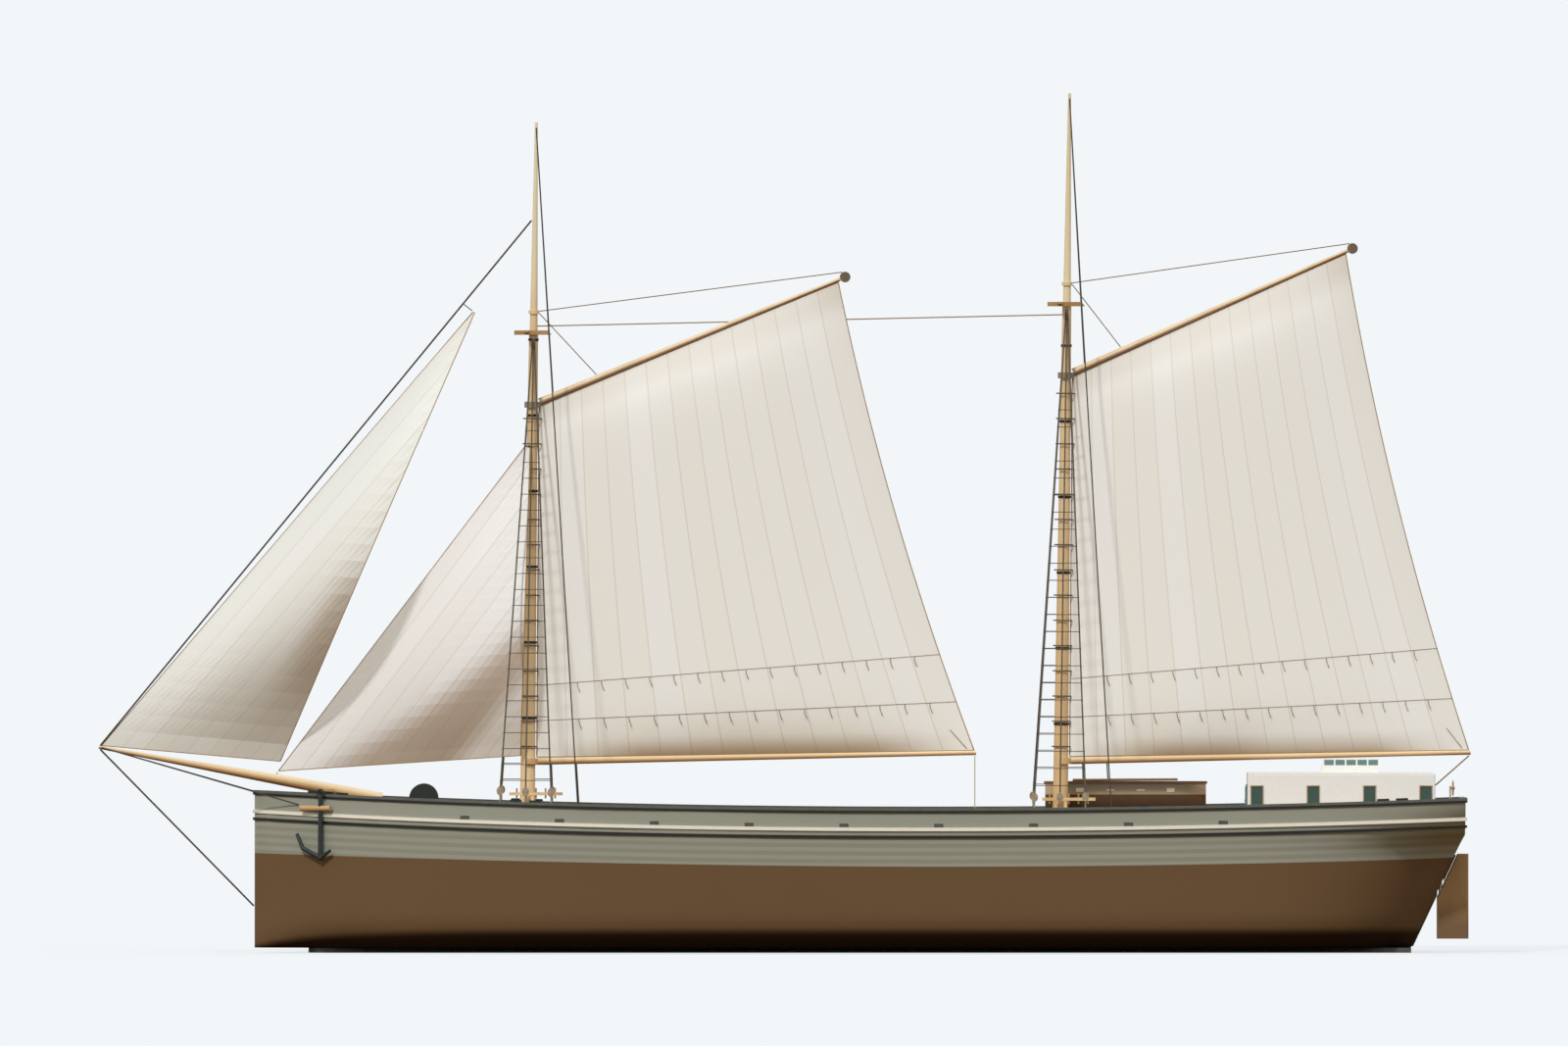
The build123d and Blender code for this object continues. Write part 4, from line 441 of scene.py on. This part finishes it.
def dress(name, material, angle=32):
    """Gives a CAD node its material and soft shading across shallow edges."""
    mesh = nodes[name].data
    mesh.materials.clear()
    mesh.materials.append(material)
    for polygon in mesh.polygons:
        polygon.material_index = 0
        polygon.use_smooth = True
    mesh.set_sharp_from_angle(angle=math.radians(angle))
    return nodes[name]


DRESSES = {
    "hull_shell": topsides, "deck": deck_wood, "freeing_ports": port_lid_grey_as_shade, "cap_rail": rail_grey,
    "black_mouldings": black_bead_and_rail_shadow, "rub_rails": strake_cream, "keel_plate": keel_iron,
    "ballast_bars": ballast_iron, "internal_frames": plywood, "stern_tube": tube_brass,
    "rudder_blade": rudder_oak, "rudder_stock": bright_steel, "tiller_arm": nylon_black,
    "servo_arm": nylon_black, "steering_pushrod": bright_steel, "rudder_servo": abs_black,
    "sail_winch": abs_black, "winch_drum": nylon_black, "battery_pack": shrink_wrap,
    "receiver": abs_black, "hatch_coaming": tree_oak, "hatch_lid": deck_wood,
    "aft_deckhouse": house_white, "deckhouse_roof": house_white, "window_frames": window_wood,
    "window_panes": window_glass, "companion_door": door_green, "skylight": house_white,
    "ships_boat": boat_paint(), "boat_fittings": boat_timber(), "windlass_barrel": windlass_iron,
    "windlass_bitts": tree_oak, "anchors": black_iron, "anchor_stocks": stock_ash,
    "mooring_chocks": band_iron, "steering_wheel": tree_oak, "wheel_post": window_wood,
    "fife_rails": mast_pine, "belaying_pins": tree_oak, "bowsprit": boom_pine,
    "fore_mast": mast_pine, "main_mast": mast_pine, "crosstrees": tree_oak,
    "mast_bands": band_iron, "shrouds": shroud_rope, "deadeyes": eye_wood, "stays": stay_line,
    "boom_sheets": sheet_line, "fore_boom": boom_pine, "main_boom": boom_pine,
    "fore_gaff": gaff_wood("varnished pine gaff, fore", "fore_gaff"),
    "main_gaff": gaff_wood("varnished pine gaff, main", "main_gaff"),
    "fore_hoops": hoop_ash, "main_hoops": hoop_ash,
    "fore_halyards": halyard_line("laid manila line, fore", "fore_halyards"),
    "main_halyards": halyard_line("laid manila line, main", "main_halyards"),
}
for node_name, node_material in DRESSES.items():
    dress(node_name, node_material)


# ---------------------------------------------------------------- sails
BELLY = 17 * MM                        # how far a gaff sail bows out in its middle
EDGE_SHAPE = 9.0                       # the larger, the closer to its spars the cloth turns
LEECH_HOLLOW = 8.4 * MM                # the free edge curves in by this much
PANELS = 14                            # strips of cloth in a gaff sail
REEF_BANDS = (0.104, 0.205)            # their heights, as shares of the luff
REEF_FIRST, REEF_STEP, REEF_COUNT = 0.101, 0.0597, 15    # places of the ties along a band
REEF_DROP = 8.4 * MM                   # length of a tie's hanging end
LUFF_FORWARD = 1.0 * MM                # the cloth reaches this much nearer to the mast
PANEL_MM = 14.3                        # strip width of a headsail, seam to seam
HEADSAIL_ROWS = 27                     # rows of faces from its foot to its head
BELLY_POWER = 1.6                      # how sharply a headsail curves in above its foot
CLOTH_LIFT = 0.35 * MM                 # stitched things stand this far off the cloth


def corner(node, x, z):
    """The point of a CAD node that lies farthest towards a direction in the XZ plane."""
    best = max(nodes[node].data.vertices, key=lambda v: v.co.x * x + v.co.z * z)
    return best.co.copy()


def link(name, mesh, material, body):
    """Puts a new mesh in the scene; it rides on a body, where one is given."""
    made = bpy.data.objects.new(name, mesh)
    bpy.context.scene.collection.objects.link(made)
    made.data.materials.append(material)
    if body:
        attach(made, body)
    return made


def mark(mesh, name, values, domain="POINT"):
    """Keeps one number for each point or face, which the cloth's material reads."""
    layer = mesh.attributes.new(name, "FLOAT", domain)
    layer.data.foreach_set("value", values)


def smooth(value):
    """A soft rise from 0 to 1."""
    held = min(1.0, max(0.0, value))
    return held * held * (3 - 2 * held)


class GaffSail:
    """A four-sided sail between its boom, mast and gaff."""

    def __init__(self, name, body, columns=70, rows=84):
        self.name, self.body = name, body
        self.tack, self.clew = corner(name, -1, -1), corner(name, 1, -0.5)
        self.throat, self.peak = corner(name, -1, 0.5), corner(name, 0.3, 1)
        for point in (self.tack, self.clew, self.throat, self.peak):
            point.y = 0
        for point in (self.tack, self.throat):
            point.x -= LUFF_FORWARD
        points, panels, reefs, shades = [], [], [], []
        for j in range(rows + 1):
            v = self.spread(j / rows)
            for i in range(columns + 1):
                u = i / columns
                points.append(self.at(u, v))
                panels.append(u * PANELS + 0.02)
                # Painted shade: brown just above the boom, where the cloth turns under, fading towards
                # luff and leech, and a little near the gaff to tone down cloth that faces up.
                ends = min(1.0, max(0.0, u - 0.04) / 0.2, max(0.0, 0.97 - u) / 0.2)
                head = 0.24 * smooth((v - 0.92) / 0.06)
                shades.append(0.76 * ends * max(0.0, 1 - v / 0.047) ** 1.2 + head)
                reefs.append(0.0)
        wide = columns + 1
        faces = [(j * wide + i, j * wide + i + 1, (j + 1) * wide + i + 1, (j + 1) * wide + i)
                 for j in range(rows) for i in range(columns)]
        mesh = bpy.data.meshes.new(name + " cloth")
        mesh.from_pydata(points, [], faces)
        for polygon in mesh.polygons:
            polygon.use_smooth = True
        mark(mesh, "panel", panels)
        mark(mesh, "shade", shades)
        mark(mesh, "reef", reefs)
        cotton = sail_cloth("woven cotton sail, " + name, "#ECEBE4", "#E9E6DC", "#B9AB93")
        self.cloth = link(name + "_cloth", mesh, cotton, body)
        self.area = sum(p.area for p in mesh.polygons)

    @staticmethod
    def spread(share):
        """Rows set closer together near the spars, where the cloth turns fastest."""
        return 0.5 - 0.5 * math.cos(math.pi * share) * (1 - 0.25 * math.sin(math.pi * share) ** 2)

    def at(self, u, v):
        """A place on the cloth: u from luff to leech, v from foot to head."""
        foot, head = self.tack.lerp(self.clew, u), self.throat.lerp(self.peak, u)
        point = foot.lerp(head, v)
        sag = BELLY * math.sin(math.pi * u) ** 0.8 * (1 - abs(2 * v - 1) ** EDGE_SHAPE)
        hollow = LEECH_HOLLOW * u * 4 * v * (1 - v)
        return Vector((point.x - hollow, -sag, point.z))

    def line(self, start, end, steps=40):
        """Points on the cloth between two places given as shares."""
        return [self.at(start[0] + (end[0] - start[0]) * k / steps,
                        start[1] + (end[1] - start[1]) * k / steps) for k in range(steps + 1)]


def tubes(name, paths, radius, material, body, sides=6):
    """Round lines along lists of points, as one mesh."""
    points, faces = [], []
    for path in paths:
        start = len(points)
        for k, centre in enumerate(path):
            ahead, back = path[min(k + 1, len(path) - 1)], path[max(k - 1, 0)]
            along = (ahead - back).normalized()
            across = along.cross(Vector((0.13, 0.98, 0.15))).normalized()
            up = along.cross(across)
            for n in range(sides):
                turn = 2 * math.pi * n / sides
                points.append(centre + (across * math.cos(turn) + up * math.sin(turn)) * radius)
        for k in range(len(path) - 1):
            for n in range(sides):
                a, b = start + k * sides + n, start + k * sides + (n + 1) % sides
                faces.append((a, b, b + sides, a + sides))
        last = start + (len(path) - 1) * sides
        faces.append(tuple(start + n for n in reversed(range(sides))))
        faces.append(tuple(last + n for n in range(sides)))
    mesh = bpy.data.meshes.new(name)
    mesh.from_pydata(points, [], faces)
    for polygon in mesh.polygons:
        polygon.use_smooth = len(polygon.vertices) == 4
    return link(name, mesh, material, body)


def trim_gaff_sail(sail):
    """Bolt rope, reef bands, reef points and corner line of a gaff sail."""
    edge = [sail.line((0.002, 0.0), (1.0, 0.0)), sail.line((1.0, 0.0), (1.0, 1.0)),
            sail.line((1.0, 1.0), (0.002, 1.0)), sail.line((0.002, 1.0), (0.002, 0.0))]
    rope = tubes(sail.name + "_bolt_rope", edge, 0.42 * MM, bolt_rope, sail.body)
    bands, points = [], []
    for hand in (-1, 1):
        off = Vector((0, hand * CLOTH_LIFT, 0))
        for v in REEF_BANDS:
            bands.append([p + off for p in sail.line((0.0, v), (1.0, v))])
            for k in range(REEF_COUNT):
                top = sail.at(REEF_FIRST + k * REEF_STEP, v) + off
                lean = Vector((0.28, 0, -1)) * REEF_DROP
                low = top + lean + off
                points.append([top, top + Vector((0.06, 0, -0.45)) * REEF_DROP + off * 1.2, low])
        heel = sail.at(0.985, 0.004) + off
        points.append([heel, sail.at(0.962, 0.045) + off])
    band_tape = plain("sewn reef band, " + sail.name, "#A4947A", 0.85)
    seams = tubes(sail.name + "_reef_bands", bands, 0.22 * MM, band_tape, sail.body, 4)
    reef_line = plain("reef line, " + sail.name, "#8F7A58", 0.8)
    ties = tubes(sail.name + "_reef_points", points, 0.3 * MM, reef_line, sail.body, 5)
    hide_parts(sail.name)


foresail = GaffSail("foresail", "fore_rig")
trim_gaff_sail(foresail)
mainsail = GaffSail("mainsail", "main_rig")
trim_gaff_sail(mainsail)


def jib_painted_shade(t, s, down):
    """Painted shade on the jib: more where a face turns down, and darkest low down along its free edge.
    """
    near_leech = smooth((t - 0.65) / 0.25) * smooth((s - 0.08) / 0.15) * smooth((0.48 - s) / 0.14)
    return 0.3 * max(0.0, down - 0.05) + 0.4 * near_leech


def staysail_painted_shade(t, s, down):
    """Painted shade on the staysail: a dark sweep along the luff's slope, paler again at the clew."""
    past = t - 0.17 - 1.83 * s
    clew = smooth((t * (1 - s) - 0.66) / 0.14)
    return 0.64 * smooth((past + 0.12) / 0.3) * (1 - clew)


def headsail(name, depth, skew, head_width, painted_shade, cloths, tack_forward=0.0):
    """A three-sided sail of flat strips, laid parallel to its luff."""
    tack, clew, head = corner(name, -1, -0.45), corner(name, 1, -1.6), corner(name, -0.2, 1)
    tack.y, head.y = (0, 0) if name == "jib" else (0, nodes_y(name, head))
    clew.y = nodes_y(name, clew)
    tack.x -= tack_forward
    tip = head + Vector((head_width, 0, -head_width * 0.2))
    rows = HEADSAIL_ROWS
    luff = (head - tack).normalized()
    points, panels, index = [], [], {}
    for j in range(rows + 1):
        s = j / rows
        width = rows - j + 1
        rise = s ** skew
        for i in range(width + 1):
            t = i / width
            sag = depth * math.sin(math.pi * t / 2) * (4 * rise * (1 - rise)) ** BELLY_POWER
            point = tack.lerp(head, s).lerp(clew.lerp(tip, s), t)
            flat = point - tack
            flat.y = 0
            panels.append((flat - luff * flat.dot(luff)).length / (PANEL_MM * MM) + 0.02)
            index[(i, j)] = len(points)
            points.append(point - Vector((0, sag, 0)))
    faces, places = [], []
    for j in range(rows):
        width = rows - j + 1
        for i in range(width):
            places.append(((i + 0.5) / width, (j + 0.5) / rows))
            if i < width - 1:
                corners = ((i, j), (i + 1, j), (i + 1, j + 1), (i, j + 1))
            else:
                corners = ((i, j), (i + 1, j), (i, j + 1))
            faces.append([index[place] for place in corners])
    mesh = bpy.data.meshes.new(name + " cloth")
    mesh.from_pydata(points, [], faces)
    mark(mesh, "panel", panels)
    mark(mesh, "reef", [0.0] * len(points))
    # Painted shade for each face, from how far it faces down and where it lies on the sail.
    shades = []
    for polygon, (t, s) in zip(mesh.polygons, places):
        down = -polygon.normal.z * (1 if polygon.normal.y < 0 else -1)
        shades.append(painted_shade(t, s, down))
    mark(mesh, "shade", shades, "FACE")
    cotton = sail_cloth("woven cotton sail, " + name, *cloths, "#B5A892")
    cloth = link(name + "_cloth", mesh, cotton, name)
    luff_line = [points[index[(0, j)]] for j in range(rows + 1)]
    leech_line = [points[index[(rows - j + 1, j)]] for j in range(rows + 1)]
    foot_line = [points[index[(i, 0)]] for i in range(rows + 2)]
    rope = tubes(name + "_bolt_rope", [luff_line, leech_line, foot_line], 0.38 * MM, bolt_rope, name)
    width, length = (clew - tack).length, (head - tack).length
    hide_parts(name)


def nodes_y(name, point):
    """The cloth's own place across the boat at one of its corners."""
    near = [v.co.y for v in nodes[name].data.vertices if (v.co - point).length < 0.002]
    return sum(near) / len(near)


headsail("jib", 80 * MM, 0.92, 1.6 * MM, jib_painted_shade, ("#DFDDD4", "#DBD9CE"), 3.0 * MM)
headsail("staysail", 34 * MM, 0.75, 4.6 * MM, staysail_painted_shade, ("#ECEAE5", "#E8E5DF"))


SHEET_STEPS = 24                       # short lengths of a boom sheet


def boom_sheet(name, low_x, high_x, radius, line):
    """One sheet, a straight line from its eye on deck up to the boom end."""
    points = [v.co for v in nodes["boom_sheets"].data.vertices if low_x < v.co.x < high_x]
    low, high = min(p.z for p in points), max(p.z for p in points)
    ends = [[p for p in points if abs(p.z - z) < 0.002] for z in (low, high)]
    foot, head = [sum(group, Vector()) / len(group) for group in ends]
    path = [foot.lerp(head, k / SHEET_STEPS) for k in range(SHEET_STEPS + 1)]
    mesh_object = tubes(name, [path], radius, line, None)
    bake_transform(mesh_object)
    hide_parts("boom_sheets")


boom_sheet("fore_sheet_line", -1.0, 0.35, 0.42 * MM, pale_line)
boom_sheet("main_sheet_line", 0.35, 1.0, 0.58 * MM, sheet_line)


# ---------------------------------------------------------------- floor, light, camera
LENS_MM, SENSOR_MM = 1000, 36
VIEW_WIDTH = 1.29345                   # what the camera takes in across, at the boat
VIEW_X, VIEW_Z = -0.0004, 0.3541       # the middle of the view
BACKDROP = "#F2F6F9"
SKY, SKY_STRENGTH = "#F4F8FF", 0.85
SUN_STRENGTH, SUN_AZIMUTH, SUN_ELEVATION = 1.76, 21, 40
GROUND = "#7C6038"                     # what the floor throws back up at the boat
SHADOW_SHARE = 0.3                     # how much of the boat's shadow the floor shows


def floor():
    """A pale floor that keeps a little of the boat's shadow and throws warm light back up."""
    mesh = bpy.data.meshes.new("floor")
    edge = 60.0
    corners = [(-edge, -edge, 0), (edge, -edge, 0), (edge, edge, 0), (-edge, edge, 0)]
    mesh.from_pydata(corners, [], [(0, 1, 2, 3)])
    made = bpy.data.objects.new("floor", mesh)
    made.location.z = -0.2 * MM
    bpy.context.scene.collection.objects.link(made)
    material = bpy.data.materials.new("matt floor paint")
    material.use_nodes = True
    tree = material.node_tree
    tree.nodes.clear()
    sunlit = SUN_STRENGTH * math.sin(math.radians(SUN_ELEVATION)) / math.pi
    light = [sunlit + SKY_STRENGTH * c for c in linear(SKY)[:3]]
    even = tuple(c / lit for c, lit in zip(linear(BACKDROP), light)) + (1.0,)
    shaded = add(tree, "BsdfDiffuse", {"Color": even})
    glow = add(tree, "Emission", {"Color": linear(BACKDROP), "Strength": 1.0})
    pale = add(tree, "MixShader", {0: SHADOW_SHARE, 1: glow.outputs[0], 2: shaded.outputs[0]})
    warm = add(tree, "BsdfDiffuse", {"Color": linear(GROUND)})
    path = add(tree, "LightPath")
    seen = add(tree, "Math", {0: path.outputs["Is Camera Ray"], 1: path.outputs["Is Transmission Ray"]},
               operation="MAXIMUM")
    mixed = add(tree, "MixShader", {0: seen.outputs[0], 1: warm.outputs[0], 2: pale.outputs[0]})
    add(tree, "OutputMaterial", {"Surface": mixed.outputs[0]})
    mesh.materials.append(material)


def surroundings():
    """Soft daylight from all round, with an even pale backdrop behind the boat."""
    world = bpy.data.worlds.new("studio")
    bpy.context.scene.world = world
    world.use_nodes = True
    tree = world.node_tree
    tree.nodes.clear()
    soft = add(tree, "Background", {"Color": linear(SKY), "Strength": SKY_STRENGTH})
    plain_back = add(tree, "Background", {"Color": linear(BACKDROP), "Strength": 1.0})
    path = add(tree, "LightPath")
    seen = path.outputs["Is Camera Ray"]
    mixed = add(tree, "MixShader", {0: seen, 1: soft.outputs[0], 2: plain_back.outputs[0]})
    add(tree, "OutputWorld", {"Surface": mixed.outputs[0]})


def key_light(strength, azimuth, elevation):
    """One broad lamp from the upper left, in front of the boat."""
    lamp = bpy.data.lights.new("key", "SUN")
    lamp.energy = strength
    lamp.angle = math.radians(4.0)
    made = bpy.data.objects.new("key", lamp)
    bpy.context.scene.collection.objects.link(made)
    a, e = math.radians(azimuth), math.radians(elevation)
    towards = Vector((-math.sin(a) * math.cos(e), -math.cos(a) * math.cos(e), math.sin(e)))
    made.rotation_mode = "QUATERNION"
    made.rotation_quaternion = towards.to_track_quat("Z", "Y")


def camera():
    """Side view from port, level with the middle of the rig, through a long lens."""
    data = bpy.data.cameras.new("camera")
    data.type = "PERSP"
    data.lens = LENS_MM
    data.sensor_width = SENSOR_MM
    distance = VIEW_WIDTH * LENS_MM / SENSOR_MM
    data.clip_start, data.clip_end = 1.0, 200.0
    made = bpy.data.objects.new("camera", data)
    made.location = (VIEW_X, -distance, VIEW_Z)
    made.rotation_euler = (math.radians(90), 0, 0)
    bpy.context.scene.collection.objects.link(made)
    bpy.context.scene.camera = made


floor()
surroundings()
key_light(SUN_STRENGTH, SUN_AZIMUTH, SUN_ELEVATION)
camera()
bpy.context.scene.view_settings.view_transform = "Standard"
